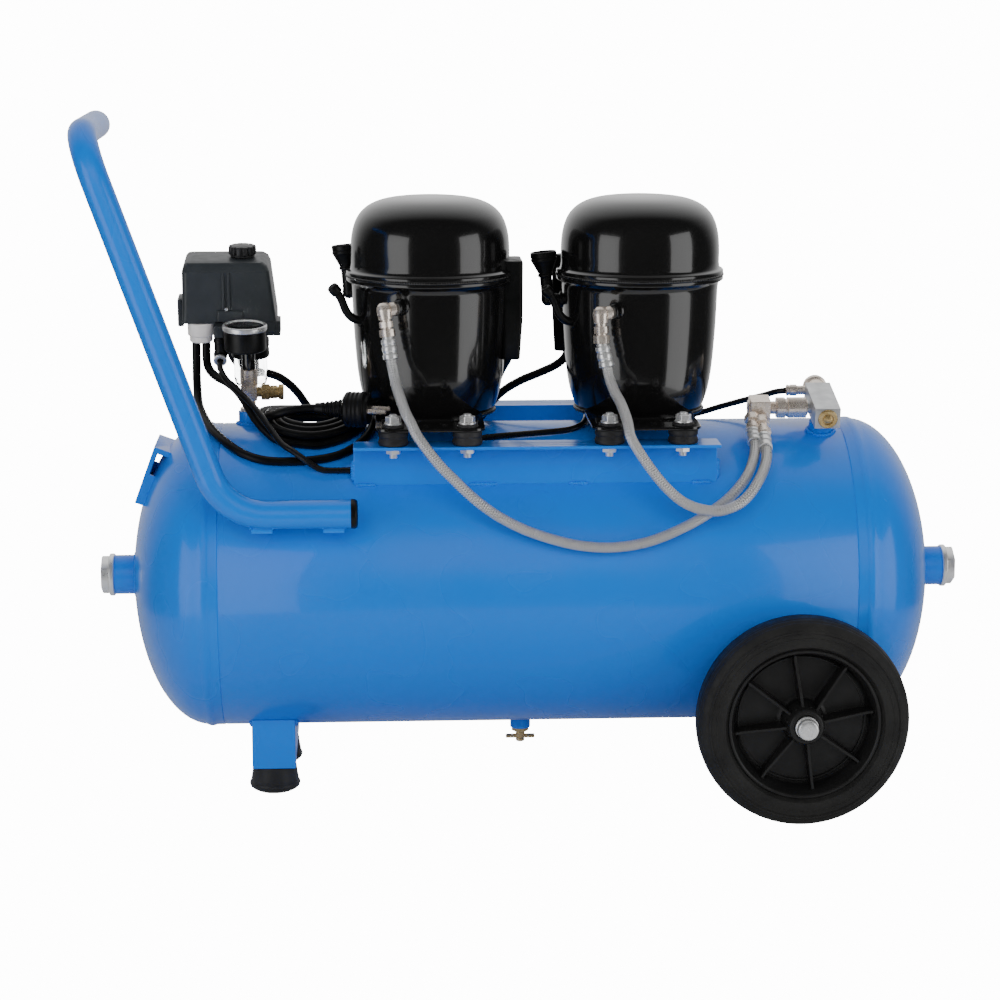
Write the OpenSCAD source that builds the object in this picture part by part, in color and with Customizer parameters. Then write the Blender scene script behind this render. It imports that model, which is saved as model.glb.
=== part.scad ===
// Mobile air compressor: a 50 litre tank on two wheels and two rubber feet, with two hermetic
// compressor motors side by side on welded rails, steel-braided discharge hoses, a pressure switch
// with gauge and filter on a riser, a one-sided push handle and a mains lead coiled on the tank.
// +X points to the wheel end, -Y to the front, +Z up. Z = 0 is the floor.

/* [Tank] */
// Outside diameter of the tank
tank_d = 300; // [290:1:310]
// Length of the rolled barrel between the heads
barrel_l = 638; // [620:1:660]
// Depth of each domed head
head_h = 75; // [70:1:80]
// Wall thickness of the barrel and the heads
tank_wall = 3; // [2:0.5:4]
// Height of the tank axis above the floor
axis_z = 209; // [205:1:215]
// Outside diameter of the welded end sockets
socket_d = 39; // [36:1:42]

/* [Wheels and feet] */
// Diameter of the solid rubber tyres
wheel_d = 203; // [198:1:206]
// Width of a tyre
tyre_w = 44; // [38:1:48]
// Diameter of the plastic rim
rim_d = 146; // [140:1:150]
// Distance from the tank's centre plane to a wheel's centre plane
wheel_y = 180; // [178:1:184]
// Place of the axle line along the tank
axle_x = 248; // [240:1:255]
// Diameter of the axle studs
axle_d = 16; // [14:1:18]
// Place of the foot bracket along the tank
foot_x = -257; // [-262:1:-250]
// Distance from the centre plane to each foot
foot_y = 49; // [44:1:50]
// Height of a rubber foot
foot_h = 27; // [24:1:30]

/* [Motors] */
// Largest radius of a motor shell, at its welded flange
flange_r = 82; // [80:0.5:83]
// Height of the shell flange above the tank axis
flange_z = 298; // [294:1:302]
// Height of the dome's top above the tank axis
dome_z = 375; // [370:1:380]
// Spacing of the mounting bolts along the tank
bolt_dx = 70; // [66:1:74]
// Distance of the mounting bolts from the centre plane
bolt_y = 122; // [120:1:124]

/* [Handle] */
// Diameter of the handle tube
handle_d = 27; // [24:1:28]
// Distance of the handle from the centre plane
handle_y = 163; // [160:1:166]
// Length of the crossbar that the hand holds
crossbar_l = 173; // [150:1:180]

/* [Air line and cables] */
// Diameter of the braided hoses
hose_d = 10.5; // [9:0.5:11]
// Diameter of the unloader tube
unloader_d = 6; // [5:0.5:6]
// Diameter of the mains lead and of the motor cables
cable_d = 8.4; // [7.5:0.1:8.6]
// Angle that the riser and the pressure switch lean to the front
riser_lean = 6; // [0:1:7]
// Angle of the manifold from the top of the tank to the front
manifold_tilt = 13.4; // [12:0.1:15]

/* [Hidden] */
$fn = 64;
tank_r = tank_d / 2;
tank_x = 3.5;
end_x = 414;
socket_r = socket_d / 2;
motor_x = [-99, 107];
motor_feet_x = [-102.5, 102.5];
elbow_z = [275, 270];
axle_z = wheel_d / 2 - axis_z;
rail_x = [-175.5, 173];
rail_y = 102;
rail_top = 150.4;
rail_t = 3;
rail_out = 136;
base_z = 164.5;
base_t = 3;
riser_at = [-278, 10, 162.5];
manifold_x = 284;
bar_r = 176.4;
bar_l = 68;
coil_at = [-216.5, -14];
coil_mean_r = 5 * cable_d;
coil_ri = coil_mean_r - 1.52 * cable_d;
coil_ro = coil_mean_r + 1.52 * cable_d;
coil_h = 2.05 * cable_d;
plug_at = [-206, -58, 175.5];
plug_turn = -13;
running = 0.05;
handle_slope = 19.5;
crossbar_x = -420.5;
crossbar_z = 444.3;
handle_z = 93.2;

// Route of the left hose, from its motor to the tee
hose_left_route = [[-139, -92, 229], [-137, -94, 218], [-134, -102, 204], [-130, -116, 193],
    [-126, -130, 183], [-121, -137, 174], [-116, -142, 164], [-106, -147, 150], [-93, -149, 134],
    [-81, -150, 122], [-69, -151, 110], [-54, -151, 97], [-35, -151, 84], [-11, -151, 72],
    [16, -152, 63], [39, -153, 58], [66, -153, 56], [93, -153, 59], [117, -152, 66],
    [144, -150, 78], [163, -147, 89], [178, -142, 99], [190, -134, 109], [199, -124, 118],
    [205, -112, 126], [209, -100, 133], [211, -90, 138], [212, -81, 143]];
// Route of the right hose, from its motor to the tee
hose_right_route = [[67, -92, 220], [69, -95, 210], [73, -104, 198], [78, -118, 188.5],
    [81, -132, 180], [83, -141, 172], [85, -148, 161], [93, -152, 147], [104, -154, 131],
    [117, -155, 115], [131, -155, 102], [144, -156, 95], [156, -157, 92], [168, -158, 91],
    [180, -157, 94], [191, -153, 99], [201, -145, 107], [209, -135, 116], [215, -124, 124],
    [219, -112, 130], [221, -101, 135], [221, -93, 139]];
// Route of the unloader tube, from the pressure switch to the manifold
unloader_route = [[-306, 14, 213], [-306, 3, 207], [-301, -9, 199], [-291, -21, 190],
    [-278, -35, 180.5], [-265, -51, 168.5], [-254, -66, 155.5], [-244, -79, 145],
    [-233, -88, 139], [-221, -94, 131.5], [-207, -96, 123], [-190, -95, 121.5],
    [-165, -94, 122], [-140, -91, 124.5], [-110, -80, 132], [-80, -66, 139], [-52, -54, 144],
    [-25, -49, 146], [6, -44, 147.5], [34, -38, 149], [48, -26, 151.5], [54, -8, 154],
    [56, 10, 154], [60, 30, 151.5], [72, 48, 146], [92, 62, 141], [118, 69, 138], [145, 68, 140],
    [172, 60, 147], [195, 49, 156], [215, 36, 164], [235, 16, 173], [245, 5, 178], [254, 0, 180]];
// Route of the supply cable that runs to the left motor
cable_left_route = [[-331, 39, 231], [-331, 39, 210], [-331, 35, 195], [-330, 26, 180],
    [-328, 12, 169], [-323, -6, 161], [-316, -26, 154], [-307, -45, 148], [-296, -62, 142],
    [-281, -76, 135], [-261, -84, 130], [-237, -86, 129], [-212, -84, 130], [-190, -79, 133.5],
    [-174, -68, 139.5], [-162, -50, 147], [-157, -28, 152.5], [-156, 0, 155], [-157, 28, 152.5],
    [-159, 52, 146], [-152, 72, 137.5], [-134, 82, 131.5], [-110, 84, 130.5], [-84, 83, 131.5],
    [-60, 78, 136], [-46, 70, 146], [-39, 62, 162], [-33, 52, 180], [-27, 40, 197],
    [-22, 27, 209], [-20.5, 18, 218]];
// Route of the supply cable that runs to the right motor
cable_right_route = [[-300, 75, 237], [-300, 76, 219], [-297, 78, 207], [-290, 79, 198],
    [-279, 78, 193], [-266, 76, 190.5], [-253, 75, 187], [-241, 75, 179], [-231, 77, 168],
    [-222, 80, 154], [-212, 83, 142], [-198, 86, 133], [-180, 88.5, 128.5], [-160, 91, 126],
    [-135, 92, 125], [-105, 92, 125], [-75, 90, 127], [-56, 85, 133], [-43, 77, 147],
    [-34, 70, 161], [-22, 64, 173], [-6, 60, 183], [12, 57, 191], [27, 56, 198], [37, 55, 206],
    [42, 54, 217.5]];
// Route of the mains lead from the gland to the coil
mains_route = [[-321, 39, 231], [-321, 37, 211], [-318, 30, 201], [-310, 19, 195],
    [-300, 5, 192], [-291, -9, 187.5], [-283, -22, 180], [-276, -34, 170.5], [-268, -44, 160],
    [-258, -53, 151], [-246, -60, 144.5]];
// Route of the mains lead from the coil to the plug
mains_tail_route = [[-265, -27, 161], [-260, -38, 164], [-250, -47, 168], [-238, -52, 172],
    [-222, -55, 175], plug_at];

// ---------- frames and helpers ----------

module in_place() translate([tank_x, 0, axis_z]) children();
module on_riser() in_place() translate(riser_at) rotate([riser_lean, 0, 0]) children();
module on_shoulder() in_place() rotate([manifold_tilt, 0, 0]) translate([manifold_x, 0, bar_r])
    children();
module at_motor(side) in_place() translate([motor_x[side], 0, 0]) children();
module both_sides() {
    children();
    mirror([0, 1, 0]) children();
}

module rod_x(r, x0, x1) translate([x0, 0, 0]) rotate([0, 90, 0]) cylinder(r = r, h = x1 - x0);
module rod_y(r, y0, y1) translate([0, y0, 0]) rotate([-90, 0, 0]) cylinder(r = r, h = y1 - y0);
module hex_x(flat, x0, x1) translate([x0, 0, 0]) rotate([0, 90, 0])
    cylinder(r = flat / 2 / cos(30), h = x1 - x0, $fn = 6);
module hex_z(flat, z0, z1) translate([0, 0, z0])
    cylinder(r = flat / 2 / cos(30), h = z1 - z0, $fn = 6);
module tube_z(ro, ri, z0, z1) translate([0, 0, z0]) difference() {
    cylinder(r = ro, h = z1 - z0);
    translate([0, 0, -1]) cylinder(r = ri, h = z1 - z0 + 2);
}

// A straight rod between two points
module rod_between(p, q, r) {
    d = q - p;
    l = norm(d);
    translate(p) rotate([0, acos(d[2] / l), atan2(d[1], d[0])]) cylinder(r = r, h = l);
}

function unit(v) = v / norm(v);
function tangent(pts, i) = unit(pts[min(i + 1, len(pts) - 1)] - pts[max(i - 1, 0)]);
// A direction square to the tangent, turned as little as possible along the route
function square_to(t, u) = unit(u - t * (u * t));
function frames(pts, i, u) = i >= len(pts) ? []
    : let (n = square_to(tangent(pts, i), u)) concat([n], frames(pts, i + 1, n));

// A round cord swept along a route, as one closed surface
module cord(pts, d, sides = 8) {
    count = len(pts);
    n = frames(pts, 0, [0.31, 0.87, 0.39]);
    rings = [for (i = [0:count - 1]) for (k = [0:sides - 1])
        pts[i] + (n[i] * cos(360 * k / sides)
            + cross(tangent(pts, i), n[i]) * sin(360 * k / sides)) * d / 2];
    walls = [for (i = [0:count - 2]) for (k = [0:sides - 1])
        [i * sides + k, i * sides + (k + 1) % sides, (i + 1) * sides + (k + 1) % sides,
            (i + 1) * sides + k]];
    first_end = [[for (k = [0:sides - 1]) sides - 1 - k]];
    last_end = [[for (k = [0:sides - 1]) (count - 1) * sides + k]];
    polyhedron(points = rings, faces = [for (f = concat(walls, first_end, last_end))
        [for (j = [len(f) - 1:-1:0]) f[j]]]);
}

// ---------- tank ----------

// Half outline of a domed head, as radius and height above the seam
function dome_line(r, h, steps) = [for (i = [0:steps])
    [r * cos(90 * i / steps), h * sin(90 * i / steps)]];

module head(side) {
    steps = 18;
    inner = dome_line(tank_r - tank_wall, head_h - tank_wall, steps);
    mirror([side < 0 ? 1 : 0, 0, 0]) translate([barrel_l / 2, 0, 0]) rotate([0, 90, 0])
        difference() {
            rotate_extrude($fn = 128) difference() {
                polygon(concat([[0, 0]], dome_line(tank_r, head_h, steps)));
                polygon(concat([[0, 0]], inner));
            }
            cylinder(r = socket_r, h = head_h + 10);
        }
}

module tank_barrel() in_place() color([0.10, 0.45, 0.78]) difference() {
    rod_x(tank_r, -barrel_l / 2, barrel_l / 2, $fn = 128);
    rod_x(tank_r - tank_wall, -barrel_l / 2 - 1, barrel_l / 2 + 1, $fn = 128);
    translate([riser_at[0], riser_at[1], 0]) cylinder(r = 7, h = tank_r + 10);
    rotate([manifold_tilt, 0, 0]) translate([manifold_x, 0, 0]) cylinder(r = 7, h = tank_r + 10);
    translate([-10, 0, -tank_r - 10]) cylinder(r = 7, h = 30);
}

module tank_heads() in_place() color([0.10, 0.45, 0.78]) {
    head(-1);
    head(1);
}

module end_socket() difference() {
    union() {
        rod_x(socket_r, barrel_l / 2 + head_h - 14, end_x);
        translate([barrel_l / 2 + head_h - 1.5, 0, 0]) rotate([0, 90, 0])
            cylinder(r1 = socket_r + 5, r2 = socket_r, h = 6);
    }
    rod_x(16.5, barrel_l / 2 + head_h - 20, end_x + 1);
}

module tank_sockets() in_place() color([0.10, 0.45, 0.78]) {
    end_socket();
    mirror([1, 0, 0]) end_socket();
    translate([riser_at[0], riser_at[1], 0]) difference() {
        tube_z(11, 7, tank_r - 3, riser_at[2]);
        translate([0, -riser_at[1], 0]) rod_x(tank_r + running, -30, 30, $fn = 128);
    }
    rotate([manifold_tilt, 0, 0]) translate([manifold_x, 0, 0]) difference() {
        tube_z(12, 7, tank_r - 3, 160);
        rod_x(tank_r + running, -30, 30, $fn = 128);
    }
    translate([-10, 0, 0]) difference() {
        tube_z(10.2, 7, -163, -tank_r + 3);
        rod_x(tank_r + running, -30, 30, $fn = 128);
    }
}

module end_plug() {
    rod_x(16.4, end_x - 16, end_x);
    rod_x(21.1, end_x, end_x + 5.3);
    hex_x(32.8, end_x + 5.3, end_x + 13);
}

module end_plugs() in_place() color([0.80, 0.81, 0.80]) {
    end_plug();
    mirror([1, 0, 0]) end_plug();
}

module data_plate_bracket() in_place() color([0.10, 0.45, 0.78]) difference() {
    translate([-378.2, 0, 107]) rotate([0, 20.3, 0]) difference() {
        translate([-1.5, -36, -29.4]) cube([26, 72, 58.8]);
        translate([1, -33.5, -26.9]) cube([30, 67, 53.8]);
        translate([3, -40, 2]) cube([30, 80, 22]);
    }
    translate([-barrel_l / 2, 0, 0]) rotate([0, -90, 0]) rotate_extrude($fn = 96)
        polygon(concat([[0, 0]], dome_line(tank_r, head_h, 18)));
    translate([-barrel_l / 2, -60, 0]) cube([60, 120, tank_r]);
}

// ---------- rails, handle, feet and wheels ----------

module motor_rail() difference() {
    length = rail_x[1] - rail_x[0];
    union() {
        translate([rail_x[0], -rail_out, rail_top - rail_t])
            cube([length, rail_out - rail_y + 1.5, rail_t]);
        translate([rail_x[0], -rail_y - 1.5, 105]) cube([length, rail_t, rail_top - 105]);
    }
    rod_x(tank_r + running, rail_x[0] - 1, rail_x[1] + 1, $fn = 128);
    for (cx = motor_feet_x) for (s = [-1, 1])
        translate([cx + s * bolt_dx / 2, -bolt_y, 140]) cylinder(r = 4.3, h = 20);
}

module motor_rails() in_place() color([0.10, 0.45, 0.78]) both_sides() motor_rail();

// Bends of the handle: the lower one lies in the front plane, the upper one turns to the rear
bend_low = 56;
bend_high = 46;
slope_dir = [-sin(handle_slope), 0, cos(handle_slope)];
handle_low = [crossbar_x + tan(handle_slope) * (crossbar_z - handle_z), -handle_y, handle_z];
handle_top = [crossbar_x, -handle_y, crossbar_z];
low_turn = 90 - handle_slope;
low_run = bend_low * tan(low_turn / 2);
handle_right = -178;

function low_bend(steps) = [for (i = [0:steps]) let (a = 270 - low_turn * i / steps)
    handle_low + [low_run, 0, bend_low] + bend_low * [cos(a), 0, sin(a)]];
function high_bend(steps) = [for (i = [0:steps]) let (a = 90 * i / steps)
    handle_top + [0, bend_high, 0] + bend_high * (slope_dir * (sin(a) - 1) - [0, cos(a), 0])];

module handle_tube() in_place() color([0.10, 0.45, 0.78]) {
    cord(concat([[handle_right, -handle_y, handle_z]], low_bend(7), high_bend(8),
        [handle_top + [0, crossbar_l, 0]]), handle_d, 32);
    for (tab_x = [-261, -194]) translate([tab_x - 10, 0, 0]) difference() {
        translate([0, -handle_y - 4, 75.5]) cube([20, 70, 6]);
        rod_x(tank_r + running, -1, 21, $fn = 128);
    }
}

module handle_end_cap() in_place() color([0.05, 0.05, 0.05])
    translate([0, -handle_y, handle_z]) rod_x(handle_d / 2 + 0.4, handle_right, handle_right + 6.5);

module foot_bracket() in_place() color([0.10, 0.45, 0.78]) difference() {
    w = 42.6;
    translate([foot_x - w / 2, -72, foot_h - axis_z]) cube([w, 144, 80]);
    translate([foot_x - w / 2 + 3, -69, foot_h - axis_z + 3]) cube([w - 6, 138, 80]);
    rod_x(tank_r + running, foot_x - 40, foot_x + 40, $fn = 128);
    both_sides() translate([foot_x, -foot_y, foot_h - axis_z - 1]) cylinder(r = 4.2, h = 10);
}

module rubber_feet() in_place() color([0.06, 0.06, 0.06]) both_sides()
    translate([foot_x, -foot_y, -axis_z]) rotate_extrude()
        polygon([[0, 0], [19, 0], [24, 3.5], [25.2, 7], [21.3, foot_h], [4, foot_h],
            [4, foot_h + 8], [0, foot_h + 8]]);

module axle_bracket() in_place() color([0.10, 0.45, 0.78]) {
    w = 50;
    drop = -tank_r - 6;
    translate([axle_x - w / 2, -138, drop]) cube([w, 276, 5]);
    translate([axle_x - w / 2, -18, drop + 4]) difference() {
        cube([w, 36, 14]);
        translate([0, 18, -drop - 4]) rod_x(tank_r + running, -1, w + 1, $fn = 128);
    }
    both_sides() difference() {
        translate([axle_x - w / 2, -138, drop + 4]) cube([w, 5, 76]);
        translate([axle_x, 0, axle_z]) rod_y(axle_d / 2, -150, -100);
        rod_x(tank_r + running, axle_x - 40, axle_x + 40, $fn = 128);
    }
}

module wheel_axles() in_place() color([0.75, 0.75, 0.76]) both_sides()
    translate([axle_x, 0, axle_z]) {
        rod_y(axle_d / 2, -216, -126);
        rod_y(12.5, -148, -138);
        difference() {
            rotate([90, 0, 0]) translate([0, 0, 123]) cylinder(r = 12.5, h = 10, $fn = 6);
            rod_y(axle_d / 2, -140, -120);
        }
    }

module axle_caps() in_place() color([0.78, 0.79, 0.80]) both_sides()
    translate([axle_x, 0, axle_z]) difference() {
        rod_y(10.2, -219, -212);
        rod_y(axle_d / 2, -216, -200);
    }

// One wheel rim: hub, recessed disc web, eight ribs and a lipped outer ring
module wheel_rim() in_place() translate([axle_x, 0, axle_z]) color([0.08, 0.08, 0.09])
    difference() {
        union() {
            rotate([90, 0, 0]) rotate_extrude($fn = 128)
                polygon([[0, 155], [20, 155], [20, 166], [60, 171], [62, 162], [72, 162],
                    [rim_d / 2, 164], [rim_d / 2 - 5, 172], [rim_d / 2 - 5, 188],
                    [rim_d / 2, 196], [rim_d / 2 - 1, 198], [rim_d / 2 - 4, 197],
                    [66, 188], [64, 174], [21, 177], [16.5, 207], [0, 208]]);
            for (k = [0:7]) rotate([0, 45 * k + 8, 0]) translate([12, -190, -1.6])
                cube([54, 18, 3.2]);
        }
        rod_y(axle_d / 2 + running, -230, -140);
    }

module tyre() in_place() translate([axle_x, 0, axle_z]) color([0.05, 0.05, 0.05])
    rotate([90, 0, 0]) rotate_extrude($fn = 128)
        polygon([[rim_d / 2 - 5, 172], [rim_d / 2, 164], [rim_d / 2 + 3, wheel_y - tyre_w / 2],
            [wheel_d / 2 - 10, wheel_y - tyre_w / 2 + 1], [wheel_d / 2 - 3, wheel_y - 16],
            [wheel_d / 2, wheel_y - 8], [wheel_d / 2, wheel_y + 8], [wheel_d / 2 - 3, wheel_y + 16],
            [wheel_d / 2 - 10, wheel_y + tyre_w / 2 - 1], [rim_d / 2 + 3, wheel_y + tyre_w / 2],
            [rim_d / 2, 196], [rim_d / 2 - 5, 188]]);

module wheel_rim_front() wheel_rim();
module wheel_rim_rear() mirror([0, 1, 0]) wheel_rim();
module tyre_front() tyre();
module tyre_rear() mirror([0, 1, 0]) tyre();

module drain_body() in_place() translate([-10, 0, 0]) color([0.72, 0.58, 0.28]) {
    tube_z(7, 3.3, -163, -146);
    difference() {
        hex_z(15, -167, -163);
        translate([0, 0, -170]) cylinder(r = 3.3, h = 10);
    }
}

module drain_screw() in_place() translate([-10, 0, 0]) color([0.72, 0.58, 0.28]) {
    translate([0, 0, -167.3]) cylinder(r = 3.3 - running, h = 18);
    translate([0, 0, -178]) cylinder(r = 4.5, h = 10.7);
    translate([0, 0, -172.7]) rod_x(2.2, -14.6, 14.6);
}

// ---------- motors ----------

lower_line = [[0, 154.5], [38, 154.5], [50, 157], [58, 161.5], [63, 169], [66.5, 178.5],
    [69, 188], [71.5, 203], [73.4, 222], [75.3, 250], [76.7, 285], [78, 291], [flange_r, 292.5],
    [flange_r, flange_z]];
upper_line = [[flange_r, flange_z], [flange_r, flange_z + 5.5], [78.5, flange_z + 7.5],
    [77.7, flange_z + 12], [77.7, 325], [76.5, 338], [73.2, 350], [67.5, 359.5], [58, 367],
    [44, 372], [24, 374.5], [0, dome_z]];

// The same outline moved in by the wall, from the bottom or the top centre to the seam
module shell_lower() rotate_extrude($fn = 96) difference() {
    polygon(concat(lower_line, [[0, flange_z]]));
    polygon([[0, 158], [37, 158], [48, 160.5], [55, 165], [59.7, 171.5], [63, 180],
        [65.6, 189.5], [68, 204], [70, 222.5], [72, 251], [73.4, flange_z], [0, flange_z]]);
}

module shell_upper() rotate_extrude($fn = 96) difference() {
    polygon(concat(upper_line, [[0, flange_z]]));
    polygon([[0, flange_z], [73.4, flange_z], [74.2, 325], [73.1, 337], [70, 348], [65, 356],
        [56.5, 363], [43, 368], [24, 371], [0, 371.5]]);
}

module motor_lower_shell_left() at_motor(0) color([0.03, 0.03, 0.03]) shell_lower();
module motor_lower_shell_right() at_motor(1) color([0.03, 0.03, 0.03]) shell_lower();
module motor_upper_shell_left() at_motor(0) color([0.03, 0.03, 0.03]) shell_upper();
module motor_upper_shell_right() at_motor(1) color([0.03, 0.03, 0.03]) shell_upper();

module motor_bases() in_place() color([0.04, 0.04, 0.04]) for (side = [0, 1]) difference() {
    translate([motor_feet_x[side] - 52, -134, base_z]) cube([104, 268, base_t]);
    translate([motor_x[side], 0, 150]) cylinder(r = 62.2, h = 30);
    for (sx = [-1, 1]) for (sy = [-1, 1])
        translate([motor_feet_x[side] + sx * bolt_dx / 2, sy * bolt_y, 150])
            cylinder(r = 7.5, h = 30);
}

module at_bolts() in_place() for (cx = motor_feet_x) for (sx = [-1, 1]) for (sy = [-1, 1])
    translate([cx + sx * bolt_dx / 2, sy * bolt_y, 0]) children();

module motor_grommets() at_bolts() color([0.05, 0.05, 0.05]) rotate_extrude()
    polygon([[4.2, rail_top], [13, rail_top], [14.3, 153], [13.5, 157.5], [14, base_z],
        [7.5, base_z], [7.5, base_z + base_t], [10.5, base_z + base_t], [10, 170.5], [4.2, 170.5]]);

module motor_bolts() at_bolts() color([0.78, 0.78, 0.78]) {
    translate([0, 0, 138]) cylinder(r = 4, h = 42);
    translate([0, 0, 170.5]) cylinder(r = 8.5, h = 1.6);
    hex_z(13, 172.1, 178);
    hex_z(12.5, 142.4, 147.4);
}

module terminal_box() difference() {
    translate([0, 0, 216]) linear_extrude(97) polygon([[60, -25], [86, -25], [90, -21],
        [90, 21], [86, 25], [60, 25]]);
    translate([86.5, -30, 210]) rotate([0, 4, 0]) cube([20, 60, 40]);
    cylinder(r = 78.7, h = 400);
    translate([0, 0, 290.5]) cylinder(r = flange_r + 0.2, h = 15.5);
}

module terminal_covers() color([0.05, 0.05, 0.05]) {
    at_motor(0) terminal_box();
    at_motor(1) rotate([0, 0, 140]) terminal_box();
}

// Suction pipe that leaves the shell below its flange and turns up into a funnel-shaped filter
module intake(turn, z) rotate([0, 0, turn]) translate([0, 0, z]) {
    rod_x(5.8, 74.2, 90);
    translate([90, 0, 0]) sphere(r = 6.8, $fn = 32);
    translate([90, 0, 0]) rotate([0, 6, 0]) {
        cylinder(r = 6, h = 24);
        translate([0, 0, 23]) cylinder(r1 = 6.5, r2 = 12.5, h = 16);
        translate([0, 0, 38.5]) cylinder(r = 13, h = 9);
    }
}

module intake_filters() color([0.06, 0.06, 0.06]) {
    at_motor(0) intake(152, 276);
    at_motor(1) intake(176, 272);
}

module process_stub(side, z) at_motor(side) {
    base = [-69.5, -30, z];
    tip = [-93, -38, z + 30];
    rod_between(base, tip, 4.3);
    translate(tip) sphere(r = 5.8, $fn = 24);
}

module process_tubes() color([0.05, 0.05, 0.05]) {
    process_stub(0, 258);
    process_stub(1, 255);
}

module stators() color([0.55, 0.36, 0.22]) for (side = [0, 1]) at_motor(side) {
    tube_z(56, 32, 186, 226);
    tube_z(48, 36, 178, 186);
    tube_z(48, 36, 226, 234);
}

module rotor(side) at_motor(side) color([0.62, 0.62, 0.64]) {
    translate([0, 0, 182]) cylinder(r = 31.4, h = 44);
    translate([0, 0, 176]) cylinder(r = 9, h = 91);
    translate([0, 0, 263]) cylinder(r = 17, h = 6);
    translate([9, 0, 268]) cylinder(r = 5, h = 16);
}
module rotor_left() rotor(0);
module rotor_right() rotor(1);

module pump_block() difference() {
    union() {
        translate([0, 0, 250]) cylinder(r = 55, h = 10);
        tube_z(15, 9 + running, 230, 250.5);
        translate([22, -19, 259]) cube([30, 38, 34]);
        for (a = [45:90:315]) rotate([0, 0, a]) translate([51.6, 0, 226]) cylinder(r = 3, h = 26);
    }
    translate([0, 0, 220]) cylinder(r = 9 + running, h = 60);
    translate([0, 0, 276]) rod_x(13, 20, 60);
}

module pump_blocks() color([0.42, 0.43, 0.44]) for (side = [0, 1]) at_motor(side) pump_block();

module pistons() color([0.68, 0.68, 0.70]) for (side = [0, 1]) at_motor(side)
    translate([0, 0, 276]) {
        rod_x(12.96, 34, 50);
        rod_x(4, 18, 34.5);
    }

// Each spring is drawn as one ribbed sleeve
module suspension_springs() color([0.6, 0.6, 0.6]) for (side = [0, 1]) at_motor(side)
    for (a = [30:120:270]) rotate([0, 0, a]) translate([40, 0, 0]) rotate_extrude()
        polygon(concat([[4, 178], [4, 160.6]], [for (i = [0:8]) [i % 2 == 0 ? 6.5 : 5.6,
            160.6 + i * 17.4 / 8]]));

// ---------- discharge line ----------

function port_base(side) = [motor_x[side] - 29.6, -69.6, elbow_z[side]];
function port_tip(side) = [motor_x[side] - 35.5, -83, elbow_z[side]];
function elbow_top(side) = [motor_x[side] - 45.5, -85, elbow_z[side] - 1];
function elbow_end(side) = side == 0 ? [-141.6, -88, 249] : [62.6, -88, 241];

module discharge_elbows() in_place() for (side = [0, 1]) {
    color([0.05, 0.05, 0.05]) rod_between(port_base(side), port_tip(side), 7);
    color([0.72, 0.70, 0.66]) {
        rod_between(port_tip(side), elbow_top(side), 6.5);
        translate(elbow_top(side)) sphere(r = 8, $fn = 32);
        rod_between(elbow_top(side), elbow_end(side), 7);
    }
}

tee_port_right = [[222, -53, 160], [222, -67, 152]];
tee_port_left = [[213, -50, 163], [212.5, -61, 155]];

module hose_fittings() in_place() color([0.78, 0.78, 0.77]) {
    rod_between(elbow_end(0), hose_left_route[0], 7.3);
    rod_between(elbow_end(1), hose_right_route[0], 7.3);
    rod_between(tee_port_right[0], tee_port_right[1], 5.6);
    rod_between(tee_port_right[1], hose_right_route[len(hose_right_route) - 1], 7);
    rod_between(tee_port_left[0], tee_port_left[1], 5.2);
    rod_between(tee_port_left[1], hose_left_route[len(hose_left_route) - 1], 6.8);
}

module hose_left() in_place() color([0.70, 0.71, 0.72]) cord(hose_left_route, hose_d, 10);
module hose_right() in_place() color([0.70, 0.71, 0.72]) cord(hose_right_route, hose_d, 10);

module manifold_tee() on_shoulder() color([0.72, 0.70, 0.66]) translate([-manifold_x, 0, -2]) {
    translate([212, -10, -10]) cube([20, 20, 20]);
    rod_x(6.5, 232, 238);
}

module check_valve() on_shoulder() color([0.72, 0.70, 0.66]) translate([-manifold_x, 0, -2])
    difference() {
        hex_x(19, 238, 268);
        rod_x(5.5, 242, 264);
    }

module check_valve_poppet() on_shoulder() color([0.72, 0.58, 0.28])
    translate([-manifold_x, 0, -2]) {
        rod_x(5.4, 243, 249);
        rod_x(2, 249, 257);
    }

module manifold_bar() on_shoulder() color([0.76, 0.77, 0.77]) {
    difference() {
        translate([-12.5, -bar_l / 2, -10.5]) cube([25, bar_l, 21]);
        rod_y(6, -bar_l / 2 - 1, bar_l / 2 + 1);
    }
    translate([-16, 0, -2]) rod_x(5.5, 0, 4);
    translate([0, 0, 160 - bar_r]) cylinder(r = 7, h = bar_r - 160 - 10.5);
}

module air_fittings() {
    on_shoulder() {
        color([0.74, 0.62, 0.38]) {
            rod_y(9.6, -bar_l / 2 - 2, -bar_l / 2);
            rod_y(6, -bar_l / 2, -bar_l / 2 + 10);
        }
        color([0.75, 0.74, 0.70]) {
            rod_y(6, bar_l / 2 - 10, bar_l / 2);
            rod_y(10, bar_l / 2, bar_l / 2 + 11);
            translate([0, bar_l / 2 + 16, 0]) rotate([-90, 0, 0]) translate([0, 0, -5])
                cylinder(r1 = 12, r2 = 9, h = 9);
            translate([0, bar_l / 2 + 5.5, 0]) rod_x(4.5, -20, -9.5);
            translate([0, bar_l / 2 + 5.5, 0]) rod_x(5.6, -30, -20);
        }
    }
    on_riser() color([0.05, 0.05, 0.05]) {
        translate([-28, 13, 54]) cylinder(r = 6, h = 18);
        translate([-28, 13, 54]) sphere(r = 7);
        rod_between([-28, 13, 54], [-28, 4, 50], 5.6);
    }
}

module unloader_tube() in_place() color([0.04, 0.04, 0.04]) cord(unloader_route, unloader_d);

// ---------- riser, gauge, pressure switch and filter ----------

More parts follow.
